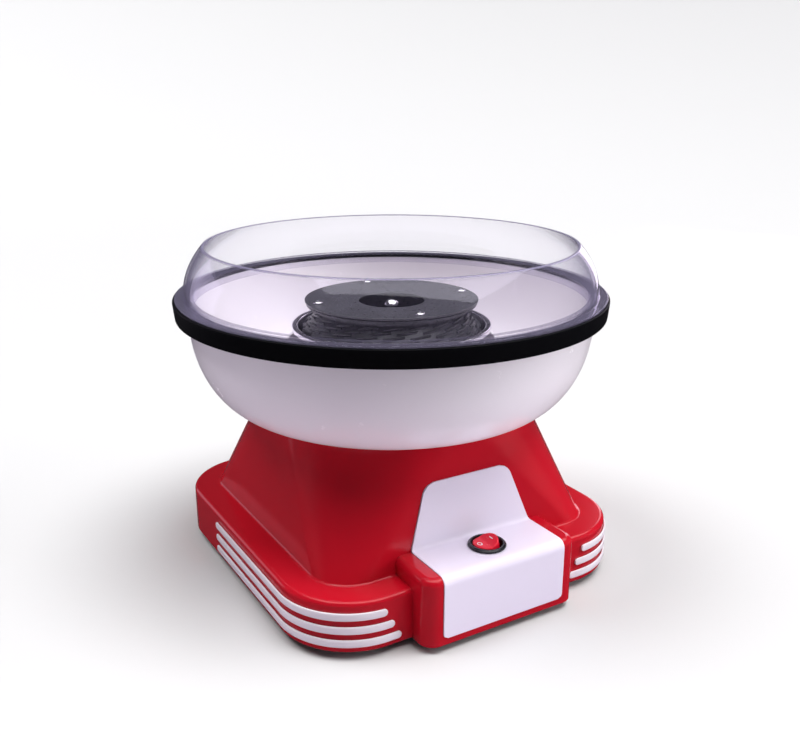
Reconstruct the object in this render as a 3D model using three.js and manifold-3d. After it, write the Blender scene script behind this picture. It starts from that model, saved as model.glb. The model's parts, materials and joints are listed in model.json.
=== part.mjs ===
// Table-top cotton candy machine, in millimetres.
// Origin on the table under the spinner's axis, +Z up, switch side towards -Y.
import * as THREE from 'three';
import { mergeVertices } from 'three/addons/utils/BufferGeometryUtils.js';
import Module from 'manifold-3d';

const wasm = await Module();
wasm.setup();

// ---------------------------------------------------------------- driving dimensions
const GAP = 0.3;                    // assembly gap between pieces that touch
const WALL = 2.5;                   // moulded shell wall
const FACETS = 40;                  // facets round the large turned pieces

const FOOT_HEIGHT = 5.3;            // rubber foot, floor to bottom cover
const PLINTH = { half: 116.6, radius: 46, bottom: 5, top: 36.9, edge: 3 };
const NECK_FOOT = { half: 98.2, radius: 25 };
const NECK_HEAD = { half: 86.2, radius: 75.2 };
const NECK_TOP = 107.8;
const NECK_LEAN = (NECK_FOOT.half - NECK_HEAD.half) / (NECK_TOP - PLINTH.top);
const BOX = { half: 54.5, front: -132.3, top: 47.9, corner: 9, edge: 4.5, back: -88 };
const PANEL = { half: 43.4, front: -132.8, top: 48.3, bottom: 9.3, bend: 5.5, thick: 1.6, tip: 86.3 };
const PANEL_SHOULDER = { half: 31.4, z: 82.5, topHalf: 24.5 };
const BOWL = { top: 171.4, topRadius: 130.9, bottom: 108.3, bottomRadius: 86.5, power: 2.07 };
const BOWL_WALL = 2.2;
const BOWL_LIP = 180.5;
const COLLAR = { radius: 68.3, top: 150 };
const RIM = { outer: 140, foot: 139.1, top: 182.4 };
const SHIELD = { base: 183.9, baseRadius: 133.1, top: 215, topRadius: 120, power: 2.12, wall: 1.8 };
const WELL = { rim: 66.1, rimTop: 161.2, throat: 62, floor: 127, floorRadius: 58, wall: 1.2 };
const PLATE = { radius: 57, top: 177.6, thick: 1.5, holeRadius: 21.7, dish: 1.2 };
const DRUM = { neck: 49, waist: 59, top: 175.8, shoulder: 171, skirt: 157, foot: 139, footRadius: 54 };
const DRUM_WALL = 1.4;
const HEAD_FLOOR = { top: 142.6, bottom: 140.6 };
const SHAFT = { radius: 3, bottom: 36, top: 160 };
const PIN_HEIGHT = 142;
const DECK_HOLE = 34;
const CAN = { radius: 24, bottom: 44, top: 94, wall: 1.5 };
const SWITCH = { y: -112.6, bezel: 11.6, barrel: 9.85, bore: 9.3, pivot: 46, rocker: 7.8 };
const SWITCH_TOP = 50.4;
const ROCKER_LEAN = 13.5;            // degrees that each half of the rocker is tilted
const ROCKER_VALLEY = 4.6;          // pivot up to the line where the halves meet
const ROCKER_PIN = 0.8;
const SCREW_PLACES = [[-105, -45], [105, -45], [-105, 45], [105, 45]];
const FOOT_PLACES = [[-86, -86], [86, -86], [-86, 86], [86, 86]];
const GLAND = { x: 62, z: 20, bore: 3.6, sleeve: 5.6, flange: 8.5, flangeThick: 2.2, inner: 104 };

// ---------------------------------------------------------------- dimensions of the inner pieces
const BOSS = { radius: 4.5, pilot: 1.8, clearance: 2.2 };
const COVER_SLOT = { half: 28, width: 4, pitch: 9, eachSide: 3 };
const TERMINALS = { left: 40, right: 78, front: 66, back: 82, height: 16, first: 47, pitch: 12, well: 3 };
const FUSE = { radius: 2.4, half: 9, y: 60, drop: 3.2 };
const LEAD = { radius: 1.6, joint: 3.4 };
const BEARING = { bore: 3.3, outer: 7.5, lower: [40, 49], upper: [86, 97] };
const CAN_MOUTH = 7.8;
const MAGNET = { inner: 18.4, bottom: 52, top: 82, halfAngle: 65 };
const BRACKET = { radius: 30, thick: 1.8, armHalf: 8, hole: 7.9 };
const DAMPER = { ring: 50, radius: 6, angles: [90, 210, 330] };
const PIN = { radius: 1, half: 6.4, hole: 1.3, slot: 1.4 };
const ARMATURE = { poles: 5, bottom: 54, top: 80, windingRadius: 13, windingBottom: 50.5, windingTop: 83.5 };
const FAN = { blades: 8, hub: 8, bottom: 99.6, top: 107.6, length: 22, depth: 7.5, thick: 1.2, pitch: 48 };
const ELEMENT = { ring: 45, wire: 2.2, z: 133.4, start: 20, sweep: 320 };
const POST = { radius: 3.4, angles: [60, 180, 300] };
const HEAD_SCREW = { ring: 50, angles: [170, 260, 350, 80], shank: 1.4, head: 3, length: 8, hole: 1.8 };
const HEAD_TAB_RADIUS = 4;
const DRUM_SLOTS = { rows: 2, perRow: 8, width: 20, height: 1.6 };
const HUB = { bore: 3.4, radius: 8, topRadius: 7, top: 167.5, rim: 52.4 };

// ---------------------------------------------------------------- finishes
const finish = (color, roughness, metalness = 0) => ({ color, roughness, metalness });
const RED = finish(0xc41426, 0.25);
const WHITE = finish(0xefecf4, 0.3);
const PANEL_WHITE = finish(0xe3dff0, 0.45);
const BLACK = finish(0x121214, 0.45);
const CLEAR = finish(0xdfe4f4, 0.08);
const CHROME = finish(0xd8d8dc, 0.12, 1);
const STEEL = finish(0x9a9ca0, 0.35, 1);
const COATED = finish(0x3c3b42, 0.5, 0.6);
const BRASS = finish(0xb98f4a, 0.35, 1);
const RUBBER = finish(0x1b1b1d, 0.85);
const CERAMIC = finish(0xe8e2d6, 0.7);
const COVER_GREY = finish(0x232327, 0.6);

// ---------------------------------------------------------------- solids
// A closed geometry as a manifold solid, turned so that its faces point outward.
function solid(geometry) {
  const bare = new THREE.BufferGeometry();
  bare.setAttribute('position', geometry.getAttribute('position').clone());
  if (geometry.index) bare.setIndex(geometry.index.clone());
  const merged = mergeVertices(bare, 1e-4);
  const points = merged.getAttribute('position').array;
  const triangles = [];
  for (let i = 0; i < merged.index.count; i += 3) {
    const [a, b, c] = [0, 1, 2].map((k) => merged.index.getX(i + k));
    if (a !== b && b !== c && c !== a) triangles.push(a, b, c);
  }
  if (signedVolume(points, triangles) < 0) triangles.reverse();
  const mesh = new wasm.Mesh({
    numProp: 3,
    vertProperties: new Float32Array(points),
    triVerts: new Uint32Array(triangles),
  });
  return new wasm.Manifold(mesh);
}

function signedVolume(points, triangles) {
  const corner = (i) => new THREE.Vector3().fromArray(points, 3 * triangles[i]);
  let volume = 0;
  for (let i = 0; i < triangles.length; i += 3) {
    volume += corner(i).dot(corner(i + 1).cross(corner(i + 2))) / 6;
  }
  return volume;
}

function geometryOf(shape) {
  const mesh = shape.getMesh();
  const geometry = new THREE.BufferGeometry();
  geometry.setAttribute('position', new THREE.BufferAttribute(mesh.vertProperties, 3));
  geometry.setIndex(new THREE.BufferAttribute(mesh.triVerts, 1));
  geometry.computeVertexNormals();
  return geometry;
}

// A profile of [radius, z] points turned about the Z axis.
function turned(profile, facets = FACETS) {
  const closed = profile[0][0] > 0 ? [...profile, profile[0]] : profile;
  const points = closed.map(([radius, z]) => new THREE.Vector2(radius, z));
  return new THREE.LatheGeometry(points, facets).rotateX(Math.PI / 2);
}

// An upright cylinder between two heights.
function rod(radius, bottom, top, { x = 0, y = 0, facets = 20, topRadius = radius } = {}) {
  const height = top - bottom;
  const geometry = new THREE.CylinderGeometry(topRadius, radius, height, facets).rotateX(Math.PI / 2);
  return geometry.translate(x, y, bottom + height / 2);
}

function block(x0, x1, y0, y1, z0, z1) {
  const geometry = new THREE.BoxGeometry(x1 - x0, y1 - y0, z1 - z0);
  return geometry.translate((x0 + x1) / 2, (y0 + y1) / 2, (z0 + z1) / 2);
}

// A flat outline raised from one height to another.
function raised(shape, bottom, top, curveSegments = 3) {
  const options = { depth: top - bottom, bevelEnabled: false, curveSegments };
  return new THREE.ExtrudeGeometry(shape, options).translate(0, 0, bottom);
}

function union(...shapes) {
  return shapes.reduce((whole, shape) => whole.add(shape));
}

// ---------------------------------------------------------------- outlines
function roundedRectangle(x0, x1, y0, y1, radius) {
  const shape = new THREE.Shape();
  shape.absarc(x1 - radius, y0 + radius, radius, -Math.PI / 2, 0);
  shape.absarc(x1 - radius, y1 - radius, radius, 0, Math.PI / 2);
  shape.absarc(x0 + radius, y1 - radius, radius, Math.PI / 2, Math.PI);
  shape.absarc(x0 + radius, y0 + radius, radius, Math.PI, 1.5 * Math.PI);
  shape.closePath();
  return shape;
}

function roundedSquare(half, radius) {
  return roundedRectangle(-half, half, -half, half, radius);
}

function disc(radius, hole = 0) {
  const shape = new THREE.Shape();
  shape.absarc(0, 0, radius, 0, 2 * Math.PI);
  if (hole > 0) shape.holes.push(new THREE.Path().absarc(0, 0, hole, 0, 2 * Math.PI, true));
  return shape;
}

// ---------------------------------------------------------------- base shell
// A block with a rounded top edge, cut flat at its foot.
function roundTopped(shape, bottom, top, edge) {
  const options = {
    depth: top - bottom,
    bevelThickness: edge,
    bevelSize: edge,
    bevelSegments: 2,
    curveSegments: 4,
  };
  const body = new THREE.ExtrudeGeometry(shape, options).translate(0, 0, bottom - edge);
  const reach = 2 * PLINTH.half;
  return solid(body).intersect(solid(block(-reach, reach, -reach, reach, bottom, top + edge)));
}

// The neck: flats stay flat and corners open out, from the plinth up to the deck.
function neckSolid(inset, bottom, top) {
  const footCore = NECK_FOOT.half - NECK_FOOT.radius;
  const headCore = NECK_HEAD.half - NECK_HEAD.radius;
  const outline = roundedSquare(NECK_FOOT.half - inset, NECK_FOOT.radius - inset);
  const geometry = raised(outline, bottom, top);
  const position = geometry.getAttribute('position');
  const rise = (z) => (z - PLINTH.top) / (NECK_TOP - PLINTH.top);
  for (let i = 0; i < position.count; i += 1) {
    const height = position.getZ(i);
    const t = rise(height);
    const core = THREE.MathUtils.lerp(footCore, headCore, t) / footCore;
    const radius = THREE.MathUtils.lerp(NECK_FOOT.radius, NECK_HEAD.radius, t) - inset;
    const grow = radius / (NECK_FOOT.radius - inset);
    const place = (value) => {
      const centre = THREE.MathUtils.clamp(value, -footCore, footCore);
      return centre * core + (value - centre) * grow;
    };
    position.setXY(i, place(position.getX(i)), place(position.getY(i)));
  }
  return solid(geometry);
}

function frontBoxSolid() {
  const { half, front, top, corner, edge, back } = BOX;
  const outline = roundedRectangle(-half + edge, half - edge, front + edge, back, corner - edge);
  return roundTopped(outline, PLINTH.bottom, top, edge);
}

function baseShell() {
  const plinthOutline = roundedSquare(PLINTH.half - PLINTH.edge, PLINTH.radius - PLINTH.edge);
  const outside = union(
    roundTopped(plinthOutline, PLINTH.bottom, PLINTH.top, PLINTH.edge),
    neckSolid(0, PLINTH.top - WALL, NECK_TOP),
    frontBoxSolid(),
  );
  const below = PLINTH.bottom - 1;
  const ceiling = PLINTH.top - WALL;
  const inner = roundedSquare(PLINTH.half - WALL, PLINTH.radius - WALL);
  const boxInner = roundedRectangle(
    -BOX.half + WALL, BOX.half - WALL, BOX.front + WALL, BOX.back, BOX.corner - WALL,
  );
  const inside = union(
    solid(raised(inner, below, ceiling)),
    neckSolid(WALL, ceiling - 0.1, NECK_TOP - WALL),
    solid(raised(boxInner, below, BOX.top - WALL)),
  );
  const bosses = SCREW_PLACES.map(([x, y]) => {
    return solid(rod(BOSS.radius, COVER_TOP + GAP, ceiling + 1, { x, y }));
  });
  const pilots = SCREW_PLACES.map(([x, y]) => solid(rod(BOSS.pilot, COVER_TOP, ceiling - 6, { x, y })));
  const glandHole = rod(GLAND.sleeve + GAP, -10, 10).rotateX(Math.PI / 2);
  glandHole.translate(GLAND.x, PLINTH.half, GLAND.z);
  return outside
    .subtract(inside)
    .add(union(...bosses))
    .subtract(union(...pilots))
    .subtract(solid(rod(DECK_HOLE, NECK_TOP - 2 * WALL, NECK_TOP + 1, { facets: 32 })))
    .subtract(panelSolid(GAP, WALL))
    .subtract(solid(rod(SWITCH.barrel + 0.8, BOX.top - 2 * WALL, BOX.top + 1, { y: SWITCH.y })))
    .subtract(solid(glandHole));
}

// ---------------------------------------------------------------- front panel
// The bent strip in side view, as an outline in (y, z).
function panelSide(grow, proud) {
  const { front, top, bend, thick, bottom, tip } = PANEL;
  const foldY = -NECK_FOOT.half + NECK_LEAN * (top - PLINTH.top) - 0.8;
  const tipY = foldY + NECK_LEAN * (tip + grow - top);
  const inner = thick + grow;
  const shape = new THREE.Shape();
  shape.moveTo(front - proud, bottom - grow);
  shape.lineTo(front - proud, top - bend);
  shape.absarc(front + bend, top - bend, bend + proud, Math.PI, Math.PI / 2, true);
  shape.lineTo(foldY - proud, top + proud);
  shape.lineTo(tipY - proud, tip + grow);
  shape.lineTo(tipY + inner, tip + grow);
  shape.lineTo(foldY + inner, top - inner);
  shape.absarc(front + bend, top - bend, bend - inner, Math.PI / 2, Math.PI);
  shape.lineTo(front + inner, bottom - grow);
  shape.closePath();
  return shape;
}

// The strip in front view, as an outline in (x, z): straight below the fold, tapered above it.
function panelFront(grow) {
  const { half, top, bottom, tip } = PANEL;
  const shoulder = PANEL_SHOULDER;
  const taper = (half - shoulder.half) / (shoulder.z - top);
  const peak = shoulder.half - taper * (tip - shoulder.z);
  const corner = 3;
  const low = bottom - grow;
  const wide = half + grow;
  const shape = new THREE.Shape();
  shape.absarc(wide - corner, low + corner, corner, -Math.PI / 2, 0);
  shape.lineTo(wide, top);
  shape.lineTo(shoulder.half + grow, shoulder.z);
  shape.quadraticCurveTo(peak + grow, tip + grow, shoulder.topHalf, tip + grow);
  shape.lineTo(-shoulder.topHalf, tip + grow);
  shape.quadraticCurveTo(-peak - grow, tip + grow, -shoulder.half - grow, shoulder.z);
  shape.lineTo(-wide, top);
  shape.absarc(-wide + corner, low + corner, corner, Math.PI, 1.5 * Math.PI);
  shape.closePath();
  return shape;
}

function panelSolid(grow, proud) {
  const reach = PANEL.half + 10;
  const side = raised(panelSide(grow, proud), -reach, reach, 3);
  side.applyMatrix4(new THREE.Matrix4().set(0, 0, 1, 0, 1, 0, 0, 0, 0, 1, 0, 0, 0, 0, 0, 1));
  const face = raised(panelFront(grow), 50, 160, 3).rotateX(Math.PI / 2);
  return solid(side).intersect(solid(face));
}

function frontPanel() {
  const hole = rod(SWITCH.barrel + 0.4, PANEL.top - 5, PANEL.top + 5, { y: SWITCH.y, facets: 24 });
  return panelSolid(0, 0).subtract(solid(hole));
}

// ---------------------------------------------------------------- stripes
const STRIPE = { height: 4.8, thick: 1.3, sideEnd: 34 };
const STRIPE_ROWS = [
  { name: 'lower', z: 11.1, frontEnd: 62.4 },
  { name: 'middle', z: 19.6, frontEnd: 66.8 },
  { name: 'upper', z: 28.2, frontEnd: 71.4 },
];

// A bar bent round one front corner of the plinth; side is -1 on the left and 1 on the right.
function stripe({ z, frontEnd }, side) {
  const core = PLINTH.half - PLINTH.radius;
  const radius = PLINTH.radius + GAP;
  const arc = (radius * Math.PI) / 2;
  const sideRun = core + STRIPE.sideEnd;
  const frontRun = core - frontEnd;
  const tip = STRIPE.height / 2;
  const total = sideRun + arc + frontRun;
  const marks = [0, 0.25 * tip, tip, sideRun, total - tip, total - 0.25 * tip, total];
  for (let i = 1; i <= 8; i += 1) {
    const mark = sideRun + (arc * i) / 8;
    if (mark < total - 0.5) marks.push(mark);
  }
  marks.sort((a, b) => a - b);
  const geometry = new THREE.BoxGeometry(1, 1, 1, marks.length - 1, 2, 1);
  const position = geometry.getAttribute('position');
  for (let i = 0; i < position.count; i += 1) {
    const along = marks[Math.round((position.getX(i) + 0.5) * (marks.length - 1))];
    const end = Math.min(along, total - along, tip);
    const half = Math.max(0.3 * tip, Math.sqrt(end * (2 * tip - end)));
    const out = radius + (position.getZ(i) + 0.5) * STRIPE.thick;
    const turn = THREE.MathUtils.clamp((along - sideRun) / radius, 0, Math.PI / 2);
    const back = Math.max(0, sideRun - along);
    const across = Math.max(0, along - sideRun - arc);
    const x = core + out * Math.cos(turn) - across;
    const y = -core - out * Math.sin(turn) + back;
    position.setXYZ(i, side * x, y, z + 2 * half * position.getY(i));
  }
  return solid(geometry);
}

// ---------------------------------------------------------------- bottom cover and feet
const COVER_BOTTOM = FOOT_HEIGHT + GAP;
const COVER_TOP = COVER_BOTTOM + WALL;

function bottomCover() {
  const inset = WALL + 0.4;
  const square = roundedSquare(PLINTH.half - inset, PLINTH.radius - inset);
  const tongue = roundedRectangle(
    -BOX.half + inset, BOX.half - inset, BOX.front + inset, BOX.back, BOX.corner - inset,
  );
  const plate = solid(raised(square, COVER_BOTTOM, COVER_TOP));
  const slots = [];
  const { half, width, pitch, eachSide } = COVER_SLOT;
  for (let i = -eachSide; i <= eachSide; i += 1) {
    slots.push(solid(block(-half, half, pitch * i - width / 2, pitch * i + width / 2, 0, 20)));
  }
  const holes = SCREW_PLACES.map(([x, y]) => solid(rod(BOSS.clearance, 0, 20, { x, y, facets: 12 })));
  return plate
    .add(solid(raised(tongue, COVER_BOTTOM, COVER_TOP)))
    .subtract(union(...slots))
    .subtract(union(...holes));
}

function foot([x, y]) {
  return solid(rod(8.5, 0, FOOT_HEIGHT, { x, y, topRadius: 10 }));
}

// A pan-head screw that points up into the shell's boss.
function coverScrew([x, y]) {
  const profile = [[0, 2.9], [2.6, 2.9], [3.6, 3.6], [3.6, 5.3], [1.5, 5.3], [1.5, 24], [0, 25.5]];
  return solid(turned(profile, 8).translate(x, y, 0));
}

function cordGland() {
  const { x, z, bore, sleeve, flange, flangeThick, inner } = GLAND;
  const face = PLINTH.half + GAP;
  const back = face + flangeThick;
  const profile = [
    [bore, inner], [sleeve, inner], [sleeve, face], [flange, face], [flange, back], [bore, back],
  ];
  return solid(turned(profile, 14).rotateX(-Math.PI / 2).translate(x, 0, z));
}

function terminalBlock() {
  const { left, right, front, back, height, first, pitch, well } = TERMINALS;
  const body = solid(block(left, right, front, back, COVER_TOP + GAP, COVER_TOP + height));
  const y = (front + back) / 2;
  const wells = [0, 1, 2].map((i) => solid(rod(well, height, 40, { x: first + pitch * i, y, facets: 12 })));
  return body.subtract(union(...wells));
}

function thermalFuse() {
  const { radius, half, y, drop } = FUSE;
  const body = rod(radius, -half, half, { facets: 12 }).rotateY(Math.PI / 2);
  return solid(body.translate(0, y, NECK_TOP - WALL - drop));
}

// Leads from the terminal block: to the switch, to the motor and to the heater.
function wiringHarness() {
  const start = [52, 60, 14];
  const routes = [
    [start, [60, 30, 13], [60, -40, 13], [40, -90, 16], [5, -106, 15]],
    [start, [44, 40, 22], [30, 16, 33], [16, 6, 39]],
    [start, [64, 36, 50], [60, 16, 84], [40, 7, 98], [31, 5.5, 104], [30.6, 5, 110], [30, 5, 118]],
  ];
  const section = new THREE.Shape().absarc(0, 0, LEAD.radius, 0, 2 * Math.PI);
  const leads = routes.map((route) => {
    const extrudePath = new THREE.CatmullRomCurve3(route.map((point) => new THREE.Vector3(...point)));
    const options = { extrudePath, steps: 3 * route.length, curveSegments: 3 };
    return solid(new THREE.ExtrudeGeometry(section, options));
  });
  const joint = new THREE.SphereGeometry(LEAD.joint, 8, 6).translate(...start);
  return union(solid(joint), ...leads);
}

// ---------------------------------------------------------------- switch
function switchHousing() {
  const { bezel, barrel, bore, y, pivot } = SWITCH;
  const seat = PANEL.top + GAP;
  const profile = [
    [0, 29], [barrel, 29], [barrel, seat], [bezel, seat], [bezel, SWITCH_TOP - 0.8],
    [bezel - 0.8, SWITCH_TOP], [bore, SWITCH_TOP], [bore, 33], [0, 33],
  ];
  const pinHole = rod(ROCKER_PIN + 0.35, -15, 15, { facets: 10 }).rotateX(Math.PI / 2).translate(0, 0, pivot);
  const shell = solid(turned(profile, 24)).subtract(solid(pinHole));
  return shell.translate([0, y, 0]);
}

function switchTerminal(x) {
  return solid(block(x - 0.5, x + 0.5, SWITCH.y - 2.4, SWITCH.y + 2.4, 19, 29 - GAP));
}

// The rocker in its off position: the -X half pressed down, the +X half standing up.
function rocker() {
  const { rocker: radius, y } = SWITCH;
  const lean = THREE.MathUtils.degToRad(ROCKER_LEAN);
  const reach = 1.5 * radius;
  const rim = ROCKER_VALLEY + reach * Math.tan(lean);
  const top = new THREE.Shape();
  top.moveTo(-reach, -4);
  top.lineTo(reach, -4);
  top.lineTo(reach, rim);
  top.lineTo(0, ROCKER_VALLEY);
  top.lineTo(-reach, rim);
  top.closePath();
  const wedge = raised(top, -reach, reach).rotateX(Math.PI / 2);
  const pins = rod(ROCKER_PIN, -9.6, 9.6, { facets: 8 }).rotateX(Math.PI / 2);
  const body = solid(rod(radius, -6, 12, { facets: 24 }))
    .intersect(solid(wedge))
    .add(solid(pins));
  return body.rotate([0, -ROCKER_LEAN, 0]).translate([0, y, SWITCH.pivot]);
}

// ---------------------------------------------------------------- motor
function motorCan() {
  const { radius, bottom, top, wall } = CAN;
  return solid(turned([
    [radius, bottom], [radius, top], [CAN_MOUTH, top], [CAN_MOUTH, top - wall],
    [radius - wall, top - wall], [radius - wall, bottom],
  ], 28));
}

function motorEndCap() {
  const rim = CAN.radius - CAN.wall - GAP;
  const { bottom } = CAN;
  const top = bottom + WALL;
  return solid(turned([[CAN_MOUTH, bottom], [rim, bottom], [rim, top], [CAN_MOUTH, top]], 28));
}

function bearing([bottom, top]) {
  const { bore, outer } = BEARING;
  return solid(turned([[bore, bottom], [outer, bottom], [outer, top], [bore, top]], 18));
}

function magnet(side) {
  const outer = CAN.radius - CAN.wall - GAP;
  const { inner, bottom, top, halfAngle } = MAGNET;
  const reach = THREE.MathUtils.degToRad(halfAngle);
  const shape = new THREE.Shape();
  shape.absarc(0, 0, outer, -reach, reach);
  shape.absarc(0, 0, inner, reach, -reach, true);
  shape.closePath();
  return solid(raised(shape, bottom, top, 5)).rotate([0, 0, side > 0 ? 0 : 180]);
}

function onCircle(radius, degrees) {
  const angle = THREE.MathUtils.degToRad(degrees);
  return { x: radius * Math.cos(angle), y: radius * Math.sin(angle) };
}

// A stamped plate with three arms that hangs the motor from the deck.
function motorBracket() {
  const { radius, thick, armHalf, hole } = BRACKET;
  const bottom = CAN.top + GAP;
  const top = bottom + thick;
  const plate = solid(raised(disc(radius), bottom, top, 12));
  const arms = DAMPER.angles.map((degrees) => {
    const arm = solid(block(radius - 10, DAMPER.ring, -armHalf, armHalf, bottom, top));
    const eye = solid(rod(armHalf, bottom, top, { x: DAMPER.ring, facets: 16 }));
    return arm.add(eye).rotate([0, 0, degrees]);
  });
  return union(plate, ...arms).subtract(solid(rod(hole, bottom - 5, top + 5, { facets: 24 })));
}

function damper(degrees) {
  const place = onCircle(DAMPER.ring, degrees);
  const foot = CAN.top + BRACKET.thick + 2 * GAP;
  return solid(rod(DAMPER.radius, foot, NECK_TOP - WALL - GAP, { ...place, facets: 14 }));
}

// ---------------------------------------------------------------- rotor
function motorShaft() {
  const shaft = solid(rod(SHAFT.radius, SHAFT.bottom, SHAFT.top, { facets: 20 }));
  const hole = rod(PIN.hole, -6, 6, { facets: 10 }).rotateY(Math.PI / 2).translate(0, 0, PIN_HEIGHT);
  return shaft.subtract(solid(hole));
}

function drivePin() {
  const { radius, half } = PIN;
  return solid(rod(radius, -half, half, { facets: 8 }).rotateY(Math.PI / 2).translate(0, 0, PIN_HEIGHT));
}

// The laminated armature: its poles stand out of the wound core.
function armature() {
  const { bottom, top, windingRadius, windingBottom, windingTop } = ARMATURE;
  const poles = [];
  for (let i = 0; i < ARMATURE.poles; i += 1) {
    const web = solid(block(3, 16, -2, 2, bottom, top));
    const shoe = solid(block(13.5, 16.6, -6.4, 6.4, bottom, top));
    poles.push(web.add(shoe).rotate([0, 0, (360 * i) / ARMATURE.poles]));
  }
  const winding = solid(turned([
    [4, windingBottom], [windingRadius, windingBottom], [windingRadius, windingTop], [4, windingTop],
  ], 15));
  return union(winding, ...poles).subtract(solid(rod(BEARING.bore, 40, 90, { facets: 15 })));
}

// The cooling fan: slanted blades on a hub.
function coolingFan() {
  const { hub, bottom, top, length, depth, thick, pitch } = FAN;
  const blades = [];
  for (let i = 0; i < FAN.blades; i += 1) {
    const blade = new THREE.BoxGeometry(length, thick, depth).rotateX(THREE.MathUtils.degToRad(pitch));
    blade.translate(6 + length / 2, 0, (bottom + top) / 2);
    blades.push(solid(blade).rotate([0, 0, (360 * i) / FAN.blades]));
  }
  const core = solid(rod(hub, bottom, top, { facets: 16 }));
  return union(core, ...blades).subtract(solid(rod(BEARING.bore, bottom - 5, top + 5, { facets: 16 })));
}

// ---------------------------------------------------------------- heater
// A skirted carrier that stands on the deck and holds the well clear of it.
function heaterCarrier() {
  const { floor, floorRadius } = WELL;
  const top = floor - GAP;
  return solid(turned([
    [7, top], [floorRadius, top], [floorRadius, NECK_TOP + GAP], [floorRadius - 3, NECK_TOP + GAP],
    [floorRadius - 3, top - 2.5], [7, top - 2.5],
  ], 32));
}

// The bright dish round the spinner head, with a rolled rim.
function heaterWell() {
  const { rim, rimTop, throat, floor, floorRadius, wall } = WELL;
  return solid(turned([
    [7, floor], [floorRadius, floor], [throat + 0.6, rimTop - 4], [rim - 0.8, rimTop - 3],
    [rim, rimTop - 1.5], [rim - 1.5, rimTop], [throat + 0.8, rimTop - 0.4],
    [throat - 0.6, rimTop - 2.4], [floorRadius - wall, floor + wall], [7, floor + wall],
  ], 36));
}

function heaterElement() {
  const { ring, wire, z, start, sweep } = ELEMENT;
  const section = new THREE.Shape().absarc(0, 0, wire, 0, 2 * Math.PI);
  const points = [];
  for (let i = 0; i <= 20; i += 1) {
    const place = onCircle(ring, start + (sweep * i) / 20);
    points.push(new THREE.Vector3(place.x, place.y, z));
  }
  const extrudePath = new THREE.CatmullRomCurve3(points);
  return solid(new THREE.ExtrudeGeometry(section, { extrudePath, steps: 24, curveSegments: 3 }));
}

function heaterPost(degrees) {
  const place = onCircle(ELEMENT.ring, degrees);
  const bottom = WELL.floor + WELL.wall + GAP;
  return solid(rod(POST.radius, bottom, ELEMENT.z - ELEMENT.wire - GAP, { ...place, facets: 12 }));
}

// ---------------------------------------------------------------- spinner head
// The top plate, dished towards its filling hole.
function headTopPlate() {
  const { radius, top, thick, holeRadius, dish } = PLATE;
  const plate = solid(turned([
    [holeRadius, top - dish - thick], [radius - 0.5, top - thick], [radius, top - thick + 0.4],
    [radius, top - 0.4], [radius - 0.5, top], [holeRadius, top - dish],
  ], FACETS));
  const holes = HEAD_SCREW.angles.map((degrees) => {
    const place = onCircle(HEAD_SCREW.ring, degrees);
    return solid(rod(HEAD_SCREW.hole, top - 5, top + 5, { ...place, facets: 6 }));
  });
  return plate.subtract(union(...holes));
}

// The flared drum with rows of slots that the melted sugar leaves through.
function headDrum() {
  const { neck, waist, top, shoulder, skirt, foot, footRadius } = DRUM;
  const wall = DRUM_WALL;
  const shell = solid(turned([
    [neck, top - 1.2], [neck, shoulder], [waist, skirt], [waist, skirt - 3], [footRadius, foot],
    [footRadius - wall, foot], [waist - wall, skirt - 3], [waist - wall, skirt + 0.4],
    [neck - wall, shoulder + 0.2], [neck - wall, top - 1.2],
  ], 32));
  const places = HEAD_SCREW.angles.map((degrees) => onCircle(HEAD_SCREW.ring, degrees));
  const tabs = places.map((place) => {
    return solid(rod(HEAD_TAB_RADIUS, shoulder - 4, top - 0.6, { ...place, facets: 10 }));
  });
  const pilots = places.map((place) => {
    return solid(rod(HEAD_SCREW.hole, shoulder - 8, top + 5, { ...place, facets: 6 }));
  });
  const slots = [];
  for (let row = 0; row < DRUM_SLOTS.rows; row += 1) {
    const t = 0.36 + 0.36 * row;
    const radius = THREE.MathUtils.lerp(neck, waist, t);
    const middle = THREE.MathUtils.lerp(shoulder, skirt, t);
    for (let i = 0; i < DRUM_SLOTS.perRow; i += 1) {
      const slot = new THREE.BoxGeometry(8, DRUM_SLOTS.width, DRUM_SLOTS.height).translate(radius, 0, middle);
      slots.push(solid(slot).rotate([0, 0, (360 * (i + 0.5 * row)) / DRUM_SLOTS.perRow + 5]));
    }
  }
  return shell.add(union(...tabs)).subtract(union(...pilots)).subtract(union(...slots));
}

// The floor of the head with its hub: a cross slot under it drops over the drive pin.
function headFloor() {
  const { top, bottom } = HEAD_FLOOR;
  const { bore, radius, topRadius, rim } = HUB;
  const foot = bottom - 3.4;
  const body = solid(turned([
    [bore, foot], [radius, foot], [radius, bottom], [rim, bottom], [rim, top], [radius + 3, top],
    [radius, top + 6], [topRadius, HUB.top], [bore, HUB.top],
  ], 24));
  const slot = block(-radius - 1, radius + 1, -PIN.slot, PIN.slot, foot - 1, PIN_HEIGHT + PIN.slot);
  return body.subtract(solid(slot));
}

function headScrew(degrees) {
  const { ring, shank, head, length } = HEAD_SCREW;
  const place = onCircle(ring, degrees);
  const seat = PLATE.top + 0.1;
  const tip = seat - length;
  const profile = [
    [0, tip], [shank, tip], [shank, seat], [head, seat], [head, seat + 0.7], [2, seat + 1.5], [0, seat + 1.7],
  ];
  return solid(turned(profile, 8).translate(place.x, place.y, 0));
}

// The bright domed cap that closes the hub over the end of the shaft.
function hubCap() {
  const bottom = HUB.top + GAP;
  return solid(turned([
    [0, bottom], [6.2, bottom], [6.2, bottom + 3], [5.2, bottom + 3.6], [5, bottom + 5.6],
    [4, bottom + 7.4], [2.2, bottom + 8.5], [0, bottom + 8.8],
  ], 14));
}

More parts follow.
